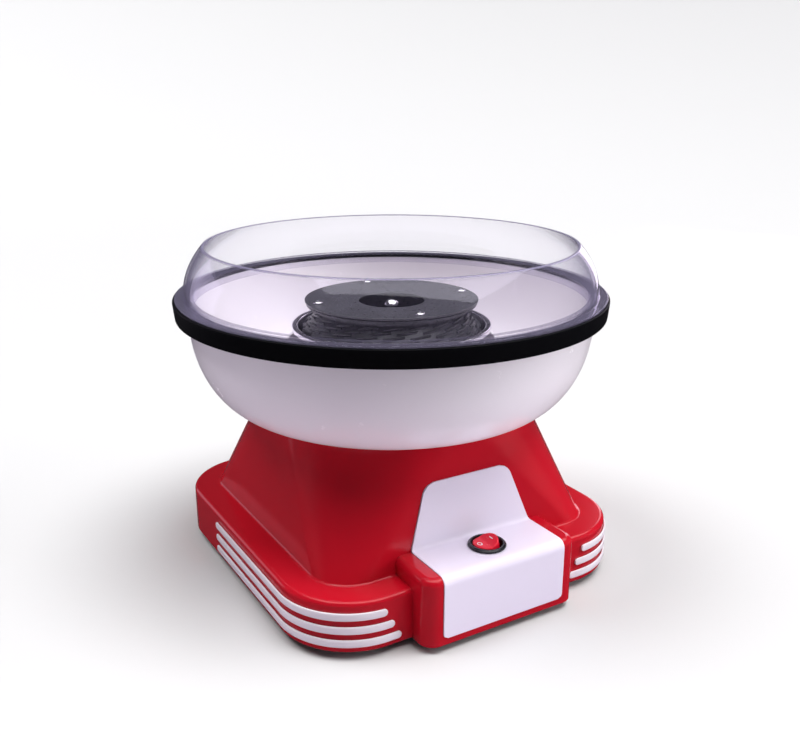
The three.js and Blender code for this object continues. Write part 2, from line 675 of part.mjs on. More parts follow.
// ---------------------------------------------------------------- bowl, rim and shield
// Points down the bowl's side from its rim to its flat bottom.
function bowlCurve(inset, steps) {
  const { top, topRadius, bottom, bottomRadius, power } = BOWL;
  const points = [];
  for (let i = 0; i <= steps; i += 1) {
    const angle = (Math.PI / 2) * (i / steps);
    const across = Math.cos(angle) ** (2 / power);
    const down = Math.sin(angle) ** (2 / power);
    const radius = bottomRadius + (topRadius - inset - bottomRadius) * across;
    points.push([radius, top - (top - bottom - inset) * down]);
  }
  points[steps][0] = bottomRadius;
  return points;
}

function bowl() {
  const floor = BOWL.bottom + BOWL_WALL;
  const rimRadius = BOWL.topRadius;
  return solid(turned([
    [COLLAR.radius, BOWL.bottom], ...bowlCurve(0, 6).reverse(), [rimRadius, BOWL_LIP],
    [rimRadius - BOWL_WALL, BOWL_LIP], ...bowlCurve(BOWL_WALL, 5), [76, floor],
    [COLLAR.radius + BOWL_WALL, floor + 6], [COLLAR.radius + BOWL_WALL, COLLAR.top],
    [COLLAR.radius, COLLAR.top],
  ]));
}

function bowlRim() {
  const { outer, foot: low, top } = RIM;
  const seat = BOWL_LIP + GAP;
  const inside = BOWL.topRadius + 0.4;
  const lip = BOWL.topRadius - BOWL_WALL;
  return solid(turned([
    [inside, BOWL.top], [low - 0.6, BOWL.top], [low, BOWL.top + 0.8], [outer, top - 1.2],
    [outer - 0.9, top], [lip, top], [lip, seat], [inside, seat],
  ]));
}

function shieldCurve(inset, steps) {
  const { base, baseRadius, top, topRadius, power } = SHIELD;
  const points = [];
  for (let i = 0; i <= steps; i += 1) {
    const t = i / steps;
    const radius = topRadius + (baseRadius - topRadius) * (1 - t ** power);
    points.push([radius - inset, THREE.MathUtils.lerp(base, top, t)]);
  }
  return points;
}

function splashShield() {
  const { base, wall } = SHIELD;
  const seat = RIM.top + GAP;
  const skirt = BOWL.topRadius - BOWL_WALL - 0.4;
  return solid(turned([
    [skirt - 1.6, seat - 6], [skirt, seat - 6], [skirt, seat], [RIM.outer - 1.4, seat],
    [RIM.outer - 1.4, base], ...shieldCurve(0, 4), ...shieldCurve(wall, 4).reverse(),
    [skirt - 1.6, base],
  ]));
}

// ---------------------------------------------------------------- assembly
const machine = new THREE.Group();

function add(name, shape, look) {
  const material = new THREE.MeshStandardMaterial(look);
  const mesh = new THREE.Mesh(geometryOf(shape), material);
  mesh.name = name;
  machine.add(mesh);
}

add('base_shell', baseShell(), RED);
add('bottom_cover', bottomCover(), COVER_GREY);
add('front_panel', frontPanel(), PANEL_WHITE);
add('cord_gland', cordGland(), RUBBER);
add('terminal_block', terminalBlock(), CERAMIC);
add('thermal_fuse', thermalFuse(), CERAMIC);
add('wiring_harness', wiringHarness(), RUBBER);
FOOT_PLACES.forEach((place, i) => add(`foot_${i + 1}`, foot(place), RUBBER));
SCREW_PLACES.forEach((place, i) => add(`cover_screw_${i + 1}`, coverScrew(place), STEEL));
for (const row of STRIPE_ROWS) {
  add(`stripe_left_${row.name}`, stripe(row, -1), WHITE);
  add(`stripe_right_${row.name}`, stripe(row, 1), WHITE);
}

add('switch_housing', switchHousing(), BLACK);
[-4.5, 4.5].forEach((x, i) => add(`switch_terminal_${i + 1}`, switchTerminal(x), BRASS));
add('rocker', rocker(), RED);

add('motor_can', motorCan(), STEEL);
add('motor_end_cap', motorEndCap(), COVER_GREY);
add('motor_bracket', motorBracket(), STEEL);
add('upper_bearing', bearing(BEARING.upper), BRASS);
add('lower_bearing', bearing(BEARING.lower), BRASS);
[1, -1].forEach((side, i) => add(`magnet_${i + 1}`, magnet(side), COVER_GREY));
DAMPER.angles.forEach((degrees, i) => add(`motor_damper_${i + 1}`, damper(degrees), RUBBER));
add('motor_shaft', motorShaft(), STEEL);
add('armature', armature(), STEEL);
add('cooling_fan', coolingFan(), COVER_GREY);
add('drive_pin', drivePin(), STEEL);

add('heater_carrier', heaterCarrier(), COVER_GREY);
add('heater_well', heaterWell(), CHROME);
add('heater_element', heaterElement(), STEEL);
POST.angles.forEach((degrees, i) => add(`heater_post_${i + 1}`, heaterPost(degrees), CERAMIC));

add('head_top_plate', headTopPlate(), COATED);
add('head_drum', headDrum(), COATED);
add('head_floor', headFloor(), COATED);
HEAD_SCREW.angles.forEach((degrees, i) => add(`head_screw_${i + 1}`, headScrew(degrees), CHROME));
add('hub_cap', hubCap(), CHROME);

add('bowl', bowl(), WHITE);
add('bowl_rim', bowlRim(), BLACK);
add('splash_shield', splashShield(), CLEAR);

export default machine;
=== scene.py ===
"""Studio scene of a table-top cotton candy machine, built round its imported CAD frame.

Lengths in the mesh code are millimetres in the CAD frame; mesh_piece() turns them into metres.
"""
import json
import math
from math import cos, pi, radians, sin

import bmesh
import bpy
from mathutils import Matrix, Vector


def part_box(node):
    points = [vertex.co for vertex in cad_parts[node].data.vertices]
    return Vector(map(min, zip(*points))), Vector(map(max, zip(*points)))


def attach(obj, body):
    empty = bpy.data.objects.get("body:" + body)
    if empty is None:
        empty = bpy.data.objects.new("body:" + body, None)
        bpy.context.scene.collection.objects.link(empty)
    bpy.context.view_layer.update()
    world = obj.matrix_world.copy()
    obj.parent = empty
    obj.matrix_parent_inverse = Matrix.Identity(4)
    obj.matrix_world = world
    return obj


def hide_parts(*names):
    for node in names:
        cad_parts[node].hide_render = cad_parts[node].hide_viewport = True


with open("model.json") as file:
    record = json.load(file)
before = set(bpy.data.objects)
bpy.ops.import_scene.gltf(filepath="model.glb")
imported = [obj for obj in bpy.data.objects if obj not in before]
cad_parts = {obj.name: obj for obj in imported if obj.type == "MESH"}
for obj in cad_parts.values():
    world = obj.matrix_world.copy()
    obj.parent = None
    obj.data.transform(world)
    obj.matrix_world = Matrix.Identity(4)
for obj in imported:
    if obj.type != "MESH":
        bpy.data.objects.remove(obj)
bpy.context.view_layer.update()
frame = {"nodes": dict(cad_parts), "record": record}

MM = 0.001
scene = bpy.context.scene

# ------------------------------------------------------------------ dimensions, mm
PLINTH_HALF, PLINTH_RADIUS, PLINTH_EDGE = 116.6, 46.0, 3.0
PLINTH_BOTTOM, PLINTH_TOP = 5.0, 36.9
NECK_FOOT_HALF, NECK_FOOT_RADIUS = 98.2, 25.0
NECK_HEAD_HALF, NECK_HEAD_RADIUS = 86.2, 75.2
NECK_TOP, NECK_FILLET = 107.8, 1.6
NECK_LEAN = (NECK_FOOT_HALF - NECK_HEAD_HALF) / (NECK_TOP - PLINTH_TOP)
WALL = 2.5
DECK_HOLE, GLAND_HOLE = 34.0, 5.9
BOX_HALF, BOX_FRONT, BOX_TOP, BOX_BACK = 54.5, -132.3, 47.9, -88.0
BOX_CORNER, BOX_EDGE, BOX_INNER_EDGE = 9.0, 4.5, 1.5
PANEL_HALF, PANEL_FRONT, PANEL_TOP, PANEL_BOTTOM = 43.4, -132.8, 48.3, 9.3
PANEL_BEND, PANEL_THICK, PANEL_TIP = 5.5, 1.6, 86.3
PANEL_SHOULDER_HALF, PANEL_SHOULDER_Z = 31.4, 82.5
PANEL_FOOT_CORNER, PANEL_TIP_CORNER = 3.0, 6.0
PANEL_PROUD, PANEL_FOLD = 0.8, 1.6
SWITCH_Y, SWITCH_TOP, SWITCH_PIVOT = -112.6, 50.4, 46.0
BEZEL_RADIUS, BEZEL_BORE, BARREL_RADIUS, ROCKER_RADIUS = 11.6, 9.3, 9.85, 7.8
BARREL_BOTTOM, BEZEL_FLOOR = 29.0, 36.0
ROCKER_LEAN = radians(13.5)
ROCKER_VALLEY, ROCKER_EDGE = 4.6, 0.9
# Half the thickness of the rocker's printed marks.
PRINT_HALF = 0.05
OFF_MARK_X, OFF_MARK_INNER, OFF_MARK_OUTER, OFF_MARK_STRETCH = -4.1, 1.05, 1.5, 1.25
ON_MARK_LEFT, ON_MARK_RIGHT, ON_MARK_HALF = 4.0, 4.5, 1.7
BOWL_TOP, BOWL_TOP_RADIUS = 171.4, 130.9
BOWL_BOTTOM, BOWL_BOTTOM_RADIUS, BOWL_POWER = 108.3, 86.5, 2.07
BOWL_WALL, BOWL_LIP = 2.2, 180.5
COLLAR_RADIUS, COLLAR_TOP = 68.3, 150.0
RIM_OUTER, RIM_FOOT, RIM_TOP = 140.0, 139.1, 182.4
SHIELD_BASE, SHIELD_BASE_RADIUS = 183.9, 133.1
SHIELD_TOP, SHIELD_TOP_RADIUS = 215.0, 120.0
SHIELD_POWER, SHIELD_WALL = 2.12, 1.8
WELL_RIM, WELL_TOP, WELL_THROAT, WELL_FLOOR, WELL_FLOOR_RADIUS = 66.1, 161.2, 62.0, 127.0, 58.0
WELL_BORE, WELL_SHEET = 7.0, 1.2
CARRIER_SIDE, CARRIER_DECK = 3.0, 2.5
PLATE_RADIUS, PLATE_TOP, PLATE_THICK, PLATE_HOLE, PLATE_DISH = 57.0, 177.6, 1.5, 21.7, 1.2
DRUM_OUTLINE = ((56.0, 175.6), (56.0, 174.4), (49.6, 174.0), (49.0, 171.0), (59.0, 157.0),
                (59.2, 154.5), (54.0, 139.0))
DRUM_LIP, DRUM_WALL = (47.6, 175.6), 1.4
LOUVRE_FOOT, LOUVRE_TOP = (58.6, 158.0), (49.4, 170.6)
LOUVRE_ROWS, LOUVRES_PER_ROW, LOUVRE_SLANT = 5, 20, 1.5
HUB_BORE, HUB_RADIUS, HUB_BOTTOM, HUB_TOP = 3.4, 8.0, 137.2, 167.5
HEAD_FLOOR_RADIUS, HEAD_FLOOR_LOW, HEAD_FLOOR_HIGH = 52.4, 140.6, 142.6
CAP_FLANGE, CAP_RADIUS, CAP_WALL, CAP_DOME = 6.2, 5.0, 4.4, 4.3
HEAD_SCREW_RADIUS, HEAD_SCREW_ANGLES = 50.0, (170, 260, 350, 80)
HEAD_SCREW = {"length": 2.2, "head_radius": 3.0, "shank": 1.4}
COVER_SCREW = {"length": 20.0, "head_radius": 3.4, "shank": 1.5}
COVER_SCREW_SEAT = 2.4
STRIPE_HEIGHT, STRIPE_THICK, STRIPE_SIDE_END = 4.8, 1.3, 34.0
STRIPE_ROWS = {"lower": (11.1, 62.4), "middle": (19.6, 66.8), "upper": (28.2, 71.4)}
# Clearance between parts that seat on each other.
GAP = 0.3

# The studio, mm.
FLOOR_START, FLAT_REACH, SWEEP_REACH, SWEEP_HEIGHT = 200.0, 1400.0, 7000.0, 4126.0
BOUNCE_REACH, BOUNCE_DEPTH = 750.0, -1.0

# Mesh resolution: steps along a curve, or points round a circle.
CORNER_STEPS, FLAT_STEPS, EDGE_STEPS, FILLET_STEPS = 20, 10, 6, 4
NECK_STEPS, BEND_STEPS, BOWL_STEPS, SHIELD_STEPS = 12, 8, 44, 36
PANEL_STEP, PANEL_COLUMNS = 1.4, 12
STRIPE_TIP_STEPS, STRIPE_LENGTH_STEPS, STRIPE_ROUND = 8, 90, 20
ROCKER_ROUND, MARK_ROUND, TOOL_ROUND, FLOOR_ROUND = 96, 40, 96, 96
FLOOR_RINGS = 55
# The radius that stands for a point on the axis.
ON_AXIS = 1e-4


# ------------------------------------------------------------------ mesh helpers
def mesh_piece(name, verts, faces, sharp_angle=35.0):
    """A smooth-shaded object from millimetre points, with its sharp edges kept."""
    data = bpy.data.meshes.new(name)
    data.from_pydata([[c * MM for c in v] for v in verts], [], faces)
    obj = bpy.data.objects.new(name, data)
    scene.collection.objects.link(obj)
    tidy_mesh(obj, sharp_angle)
    return obj


def tidy_mesh(obj, sharp_angle=35.0):
    """Merges doubles, turns the faces outward and sets the shading."""
    work = bmesh.new()
    work.from_mesh(obj.data)
    bmesh.ops.remove_doubles(work, verts=work.verts, dist=1e-6)
    bmesh.ops.dissolve_degenerate(work, edges=work.edges, dist=1e-7)
    bmesh.ops.recalc_face_normals(work, faces=work.faces)
    work.to_mesh(obj.data)
    work.free()
    obj.data.polygons.foreach_set("use_smooth", [True] * len(obj.data.polygons))
    obj.data.set_sharp_from_angle(angle=radians(sharp_angle))
    obj.data.update()


def circle(radius, z, count, y=0.0):
    """A level ring of points."""
    return [(radius * cos(2 * pi * k / count), y + radius * sin(2 * pi * k / count), z)
            for k in range(count)]


def quarter_arc(radius, base, height, steps):
    """A dome in side view, as (radius, z) points from just above its foot up to the axis."""
    return [(radius * cos(pi / 2 * k / steps), base + height * sin(pi / 2 * k / steps))
            for k in range(1, steps + 1)]


def stitch(rings, closed_path=False, caps=True):
    """Faces between rings that have the same number of points; returns verts and faces."""
    count = len(rings[0])
    verts = [point for ring in rings for point in ring]
    faces = []
    spans = len(rings) if closed_path else len(rings) - 1
    for i in range(spans):
        a, b = i * count, ((i + 1) % len(rings)) * count
        for k in range(count):
            m = (k + 1) % count
            faces.append((a + k, a + m, b + m, b + k))
    if caps and not closed_path:
        faces.append(tuple(reversed(range(count))))
        faces.append(tuple(range((len(rings) - 1) * count, len(rings) * count)))
    return verts, faces


def fillet(points, radii, steps=5, closed=False):
    """Rounds the corners of a polyline; radii holds one radius for each point, 0 to keep it."""
    out = []
    count = len(points)
    for i, (point, radius) in enumerate(zip(points, radii)):
        if radius <= 0 or (not closed and i in (0, count - 1)):
            out.append(tuple(point))
            continue
        p = Vector(point)
        to_last, to_next = Vector(points[i - 1]) - p, Vector(points[(i + 1) % count]) - p
        before, after = to_last.normalized(), to_next.normalized()
        half = before.angle(after) / 2
        reach = min(radius / math.tan(half), 0.49 * to_last.length, 0.49 * to_next.length)
        start, end = p + before * reach, p + after * reach
        for k in range(steps + 1):
            t = k / steps
            out.append(tuple(start * (1 - t) ** 2 + p * 2 * t * (1 - t) + end * t ** 2))
    return out


def resample(points, count=None):
    """Points spread evenly along a polyline, about PANEL_STEP apart unless a count is given."""
    lengths = [0.0]
    for p, q in zip(points, points[1:]):
        lengths.append(lengths[-1] + math.dist(p, q))
    total = lengths[-1]
    count = count or max(2, int(total / PANEL_STEP) + 1)
    out, index = [], 0
    for k in range(count):
        target = total * k / (count - 1)
        while index < len(points) - 2 and lengths[index + 1] < target:
            index += 1
        t = (target - lengths[index]) / (lengths[index + 1] - lengths[index])
        p, q = points[index], points[index + 1]
        out.append((p[0] + (q[0] - p[0]) * t, p[1] + (q[1] - p[1]) * t))
    return out


def turned(name, profile, segments, closed=True, sharp_angle=35.0):
    """A profile of (radius, z) points turned about Z; points on the axis merge into one."""
    rings = [circle(max(radius, ON_AXIS), z, segments) for radius, z in profile]
    return mesh_piece(name, *stitch(rings, closed_path=closed), sharp_angle)


def square_ring(half_x, half_y, radius, z, centre_y):
    """A rounded rectangle as a ring of points, always in the same order and number."""
    points = []
    cx, cy = half_x - radius, half_y - radius
    corners = ((cx, cy), (-cx, cy), (-cx, -cy), (cx, -cy))
    for quarter, (x, y) in enumerate(corners):
        for k in range(CORNER_STEPS + 1):
            angle = (quarter + k / CORNER_STEPS) * pi / 2
            points.append((x + radius * cos(angle), centre_y + y + radius * sin(angle), z))
        nx, ny = corners[(quarter + 1) % 4]
        end_angle = (quarter + 1) * pi / 2
        ex, ey = radius * cos(end_angle), radius * sin(end_angle)
        for k in range(1, FLAT_STEPS):
            t = k / FLAT_STEPS
            points.append((x + ex + (nx - x) * t, centre_y + y + ey + (ny - y) * t, z))
    return points


def stack(name, sections):
    """A closed solid from rounded rectangles, each (half_x, half_y, radius, z, centre_y)."""
    return mesh_piece(name, *stitch([square_ring(*section) for section in sections]))


def cylinder_tool(radius, low, high, y=0.0):
    """An upright cylinder used only as a cutter."""
    return mesh_piece("cutter", *stitch([circle(radius, z, TOOL_ROUND, y) for z in (low, high)]))


def apply_modifiers(obj):
    """Replaces the mesh by its evaluated result and clears the modifiers."""
    graph = bpy.context.evaluated_depsgraph_get()
    data = bpy.data.meshes.new_from_object(obj.evaluated_get(graph))
    obj.modifiers.clear()
    old, obj.data = obj.data, data
    data.name = obj.name
    bpy.data.meshes.remove(old)


def boolean(obj, tool, operation):
    """Applies a boolean with a tool object, which is removed."""
    modifier = obj.modifiers.new("cut", "BOOLEAN")
    modifier.operation = operation
    modifier.solver = "EXACT"
    modifier.object = tool
    apply_modifiers(obj)
    bpy.data.objects.remove(tool)


def drill(obj, radius, surface, y=0.0):
    """Cuts an upright round hole through a wall whose upper face is at the height surface."""
    boolean(obj, cylinder_tool(radius, surface - 6.0, surface + 2.0, y), "DIFFERENCE")


def bevel(obj, width, segments, angle):
    modifier = obj.modifiers.new("bevel", "BEVEL")
    modifier.width = width * MM
    modifier.segments = segments
    modifier.limit_method = "ANGLE"
    modifier.angle_limit = radians(angle)
    apply_modifiers(obj)
    tidy_mesh(obj)


def joined(name, parts):
    """Several separate closed meshes as one object."""
    whole = bmesh.new()
    for part in parts:
        whole.from_mesh(part.data)
        bpy.data.objects.remove(part)
    data = bpy.data.meshes.new(name)
    whole.to_mesh(data)
    whole.free()
    obj = bpy.data.objects.new(name, data)
    scene.collection.objects.link(obj)
    tidy_mesh(obj)
    return obj


def move(obj, *matrices):
    """Transforms the mesh by each matrix in turn; these are in metres."""
    for matrix in matrices:
        obj.data.transform(matrix)


def middle(low, high):
    return [(a + b) / 2 for a, b in zip(low, high)]


def slot_of(node):
    """The record's material slot for a CAD node."""
    for entry in frame["record"]["subparts"]:
        if entry["node"] == node:
            return entry["material_slot"]
    raise KeyError(node)


def place(obj, body, node, looks):
    """Seats a piece: its finish, what it rides on and the CAD node it stands for."""
    slot = slot_of(node)
    obj.data.materials.clear()
    obj.data.materials.append(looks[slot])
    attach(obj, body)
    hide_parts(node)


# ------------------------------------------------------------------ camera
def make_camera():
    data = bpy.data.cameras.new("camera")
    data.lens = 41.19
    data.sensor_width = 36.0
    data.clip_start, data.clip_end = 0.01, 50.0
    camera = bpy.data.objects.new("camera", data)
    camera.location = (-0.2956, -0.5073, 0.3134)
    camera.rotation_euler = (radians(72.12), 0.0, radians(-30.77))
    scene.collection.objects.link(camera)
    scene.camera = camera


# ------------------------------------------------------------------ materials
def new_material(name, color, roughness, metallic=0.0, **inputs):
    """A Principled material; keyword inputs are set on the shader's own sockets."""
    material = bpy.data.materials.new(name)
    material.use_nodes = True
    shader = material.node_tree.nodes["Principled BSDF"]
    shader.inputs["Base Color"].default_value = (*color, 1.0)
    shader.inputs["Roughness"].default_value = roughness
    shader.inputs["Metallic"].default_value = metallic
    for label, value in inputs.items():
        shader.inputs[label.replace("_", " ")].default_value = value
    return material


def noise_node(tree, vector, scale, detail, roughness=0.5):
    """Adds a noise texture and returns its value."""
    node = tree.nodes.new("ShaderNodeTexNoise")
    node.inputs["Scale"].default_value = scale
    node.inputs["Detail"].default_value = detail
    node.inputs["Roughness"].default_value = roughness
    tree.links.new(vector, node.inputs["Vector"])
    return node.outputs["Fac"]


def map_range(tree, value, source, target):
    """Adds a node that maps the span source of a value to the span target; returns the result."""
    node = tree.nodes.new("ShaderNodeMapRange")
    node.inputs["From Min"].default_value, node.inputs["From Max"].default_value = source
    node.inputs["To Min"].default_value, node.inputs["To Max"].default_value = target
    tree.links.new(value, node.inputs["Value"])
    return node.outputs["Result"]


def surface_detail(material, color, roughness, grain=900.0, depth=0.00002, spread=0.06, tint=0.06,
                   patch=9.0, stretch=(1.0, 1.0, 1.0)):
    """Varies colour and roughness over broad patches and adds a fine moulded or rolled grain."""
    tree = material.node_tree
    nodes, links = tree.nodes, tree.links
    shader = nodes["Principled BSDF"]
    coords = nodes.new("ShaderNodeTexCoord")
    mapping = nodes.new("ShaderNodeMapping")
    mapping.inputs["Scale"].default_value = stretch
    links.new(coords.outputs["Object"], mapping.inputs["Vector"])
    vector = mapping.outputs["Vector"]

    mix = nodes.new("ShaderNodeMix")
    mix.data_type = "RGBA"
    mix.inputs["A"].default_value = (*[c * (1 - tint) for c in color], 1.0)
    mix.inputs["B"].default_value = (*[min(1.0, c * (1 + tint)) for c in color], 1.0)
    links.new(noise_node(tree, vector, patch, 4.0), mix.inputs["Factor"])
    links.new(mix.outputs["Result"], shader.inputs["Base Color"])

    smear = map_range(tree, noise_node(tree, vector, patch * 6, 6.0, 0.65), (0.3, 0.7),
                      (max(0.02, roughness - spread), min(1.0, roughness + spread)))
    links.new(smear, shader.inputs["Roughness"])

    bump = nodes.new("ShaderNodeBump")
    bump.inputs["Strength"].default_value = 0.5
    bump.inputs["Distance"].default_value = depth
    links.new(noise_node(tree, vector, grain, 3.0), bump.inputs["Height"])
    links.new(bump.outputs["Normal"], shader.inputs["Normal"])
    return material


def plastic(name, color, roughness, gloss=0.5, **detail):
    material = new_material(name, color, roughness, Specular_IOR_Level=gloss)
    return surface_detail(material, color, roughness, **detail)


def metal(name, color, roughness, metallic=1.0, **detail):
    material = new_material(name, color, roughness, metallic=metallic)
    return surface_detail(material, color, roughness, **detail)


def make_materials():
    """One material for each of the record's slots, keyed by slot."""
    finishes = {
        "red_shell": (plastic, (0.49, 0.005, 0.016), 0.17,
                      {"grain": 420.0, "depth": 0.000012, "spread": 0.04, "tint": 0.03}),
        "red_rocker": (plastic, (0.74, 0.008, 0.03), 0.26,
                       {"gloss": 0.35, "grain": 1600.0, "spread": 0.05}),
        "white_bowl": (plastic, (0.88, 0.84, 0.89), 0.24,
                       {"grain": 300.0, "depth": 0.00001, "spread": 0.04, "tint": 0.015}),
        "white_trim": (plastic, (0.78, 0.72, 0.78), 0.32,
                       {"grain": 900.0, "spread": 0.05, "tint": 0.02}),
        "panel": (plastic, (0.80, 0.745, 0.88), 0.42,
                  {"grain": 1500.0, "depth": 0.00001, "spread": 0.04, "tint": 0.012}),
        "black_rim": (plastic, (0.003, 0.003, 0.004), 0.5,
                      {"gloss": 0.06, "grain": 1400.0, "spread": 0.07}),
        "switch_black": (plastic, (0.008, 0.009, 0.014), 0.28, {"grain": 1600.0, "spread": 0.05}),
        "grey_plastic": (plastic, (0.028, 0.028, 0.032), 0.55, {"grain": 1100.0, "depth": 0.00006}),
        "rubber": (plastic, (0.018, 0.018, 0.019), 0.8, {"grain": 1500.0, "depth": 0.00006}),
        "ceramic": (plastic, (0.70, 0.66, 0.58), 0.65, {"grain": 1300.0, "depth": 0.00004}),
        "magnet": (plastic, (0.045, 0.045, 0.05), 0.6, {"grain": 1800.0, "depth": 0.00005}),
        "bright_metal": (metal, (0.86, 0.84, 0.90), 0.2,
                         {"grain": 700.0, "depth": 0.000006, "spread": 0.05, "tint": 0.03,
                          "stretch": (1.0, 1.0, 6.0)}),
        # A dark non-stick coating, faintly speckled.
        "coated_metal": (metal, (0.074, 0.072, 0.088), 0.34,
                         {"metallic": 0.35, "grain": 1700.0, "depth": 0.00007, "spread": 0.12,
                          "tint": 0.4, "patch": 60.0}),
        "brass": (metal, (0.62, 0.40, 0.13), 0.3, {"grain": 900.0, "spread": 0.1}),
        "steel": (metal, (0.66, 0.66, 0.69), 0.28,
                  {"grain": 260.0, "spread": 0.1, "tint": 0.1, "stretch": (1.0, 1.0, 12.0)}),
    }
    looks = {slot: make(slot, color, roughness, **detail)
             for slot, (make, color, roughness, detail) in finishes.items()}
    looks["clear_shield"] = clear_plastic()
    return looks


def clear_plastic():
    """Clear polycarbonate: tinted pass-through, a violet haze and a gloss, both more edge-on."""
    material = bpy.data.materials.new("clear_shield")
    material.use_nodes = True
    tree = material.node_tree
    nodes, links = tree.nodes, tree.links
    haze = nodes["Principled BSDF"]
    haze.inputs["Base Color"].default_value = (0.27, 0.245, 0.37, 1.0)
    haze.inputs["Specular IOR Level"].default_value = 0.2
    haze.inputs["Roughness"].default_value = 0.3
    pass_through = nodes.new("ShaderNodeBsdfTransparent")
    pass_through.inputs["Color"].default_value = (0.972, 0.967, 0.984, 1.0)

    facing = nodes.new("ShaderNodeLayerWeight")
    facing.inputs["Blend"].default_value = 0.5
    curve = nodes.new("ShaderNodeMath")
    curve.operation = "POWER"
    curve.inputs[1].default_value = 5.0
    links.new(facing.outputs["Facing"], curve.inputs[0])
    edge_on = map_range(tree, curve.outputs["Value"], (0.0, 1.0), (0.03, 0.75))

    # The cut top edge is hazier than the wall below it.
    coords = nodes.new("ShaderNodeTexCoord")
    place_on = nodes.new("ShaderNodeSeparateXYZ")
    links.new(coords.outputs["Object"], place_on.inputs["Vector"])
    cut_edge = map_range(tree, place_on.outputs["Z"],
                         ((SHIELD_TOP - 1.1) * MM, (SHIELD_TOP - 0.3) * MM), (0.0, 0.6))
    amount = nodes.new("ShaderNodeMath")
    amount.use_clamp = True
    links.new(edge_on, amount.inputs[0])
    links.new(cut_edge, amount.inputs[1])
    body = nodes.new("ShaderNodeMixShader")
    links.new(amount.outputs["Value"], body.inputs["Fac"])
    links.new(pass_through.outputs["BSDF"], body.inputs[1])
    links.new(haze.outputs["BSDF"], body.inputs[2])

    gloss = nodes.new("ShaderNodeBsdfGlossy")
    gloss.inputs["Color"].default_value = (0.92, 0.90, 1.0, 1.0)
    wiped = map_range(tree, noise_node(tree, coords.outputs["Object"], 26.0, 6.0), (0.35, 0.75),
                      (0.02, 0.10))
    links.new(wiped, gloss.inputs["Roughness"])
    whole = nodes.new("ShaderNodeMixShader")
    links.new(edge_on, whole.inputs["Fac"])
    links.new(body.outputs["Shader"], whole.inputs[1])
    links.new(gloss.outputs["BSDF"], whole.inputs[2])
    links.new(whole.outputs["Shader"], nodes["Material Output"].inputs["Surface"])
    return material


# ------------------------------------------------------------------ base shell
def edge_arc(edge, top):
    """Insets and heights up a rounded top edge, from the side wall to the flat top."""
    return [(edge * (1 - cos(a)), top - edge + edge * sin(a))
            for a in (pi / 2 * k / EDGE_STEPS for k in range(EDGE_STEPS + 1))]


def plinth_section(z, inset):
    half = PLINTH_HALF - inset
    return half, half, PLINTH_RADIUS - inset, z, 0.0


def neck_section(z, inset=0.0):
    t = (z - PLINTH_TOP) / (NECK_TOP - PLINTH_TOP)
    half = NECK_FOOT_HALF + (NECK_HEAD_HALF - NECK_FOOT_HALF) * t - inset
    radius = NECK_FOOT_RADIUS + (NECK_HEAD_RADIUS - NECK_FOOT_RADIUS) * t - inset
    return half, half, radius, z, 0.0


def outer_sections():
    """Plinth wall, rounded edge, ledge, the small fillet at the neck's foot, and the neck."""
    sections = [plinth_section(PLINTH_BOTTOM, 0.6), plinth_section(PLINTH_BOTTOM + 0.8, 0.0)]
    sections += [plinth_section(z, inset) for inset, z in edge_arc(PLINTH_EDGE, PLINTH_TOP)]
    for k in range(FILLET_STEPS + 1):
        a = pi / 2 * k / FILLET_STEPS
        sections.append(neck_section(PLINTH_TOP + NECK_FILLET * (1 - cos(a)),
                                     -NECK_FILLET * (1 - sin(a))))
    foot = PLINTH_TOP + NECK_FILLET
    sections += [neck_section(foot + (NECK_TOP - foot) * k / NECK_STEPS)
                 for k in range(1, NECK_STEPS + 1)]
    return sections


def box_sections(inset, bottom, top, edge):
    """The switch box on the plinth's front, with rounded corners and top edges."""
    half_y = (BOX_BACK - BOX_FRONT) / 2
    centre = (BOX_BACK + BOX_FRONT) / 2
    sections = [(BOX_HALF - inset, half_y - inset, BOX_CORNER - inset, bottom, centre)]
    for shrink, z in edge_arc(edge, top):
        sections.append((BOX_HALF - inset - shrink, half_y - inset - shrink,
                         BOX_CORNER - inset - shrink * 0.96, z, centre))
    return sections


def panel_profile(offset):
    """The bent strip's face in side view, as (y, z) points moved outward by offset."""
    fold_y = -NECK_FOOT_HALF + NECK_LEAN * (PANEL_TOP - PLINTH_TOP) - PANEL_PROUD
    points = [(PANEL_FRONT - offset, PANEL_BOTTOM)]
    for k in range(BEND_STEPS + 1):
        a = pi - pi / 2 * k / BEND_STEPS
        points.append((PANEL_FRONT + PANEL_BEND + (PANEL_BEND + offset) * cos(a),
                       PANEL_TOP - PANEL_BEND + (PANEL_BEND + offset) * sin(a)))
    # The fold up the neck, eased over three points.
    points.append((fold_y - offset * 0.9 - PANEL_FOLD, PANEL_TOP + offset))
    points.append((fold_y - offset * 0.95 - 0.4, PANEL_TOP + offset + 0.35))
    points.append((fold_y - offset + NECK_LEAN * PANEL_FOLD,
                   PANEL_TOP + offset * 0.9 + PANEL_FOLD))
    points.append((fold_y - offset + NECK_LEAN * (PANEL_TIP - PANEL_TOP), PANEL_TIP))
    return points


def panel_half_width(z, y, grow):
    """Half the strip's width at a point of its profile, with rounded lower and upper corners."""
    if z <= PANEL_TOP:
        half, corner = PANEL_HALF, PANEL_FOOT_CORNER
        reach = min(z - PANEL_BOTTOM, corner) if y < PANEL_FRONT + 1.0 else corner
    else:
        taper = (PANEL_HALF - PANEL_SHOULDER_HALF) / (PANEL_SHOULDER_Z - PANEL_TOP)
        half, corner = PANEL_HALF - taper * (z - PANEL_TOP), PANEL_TIP_CORNER
        reach = min(PANEL_TIP - z, corner)
    return half + grow - corner + math.sqrt(max(0.0, corner ** 2 - (corner - reach) ** 2))


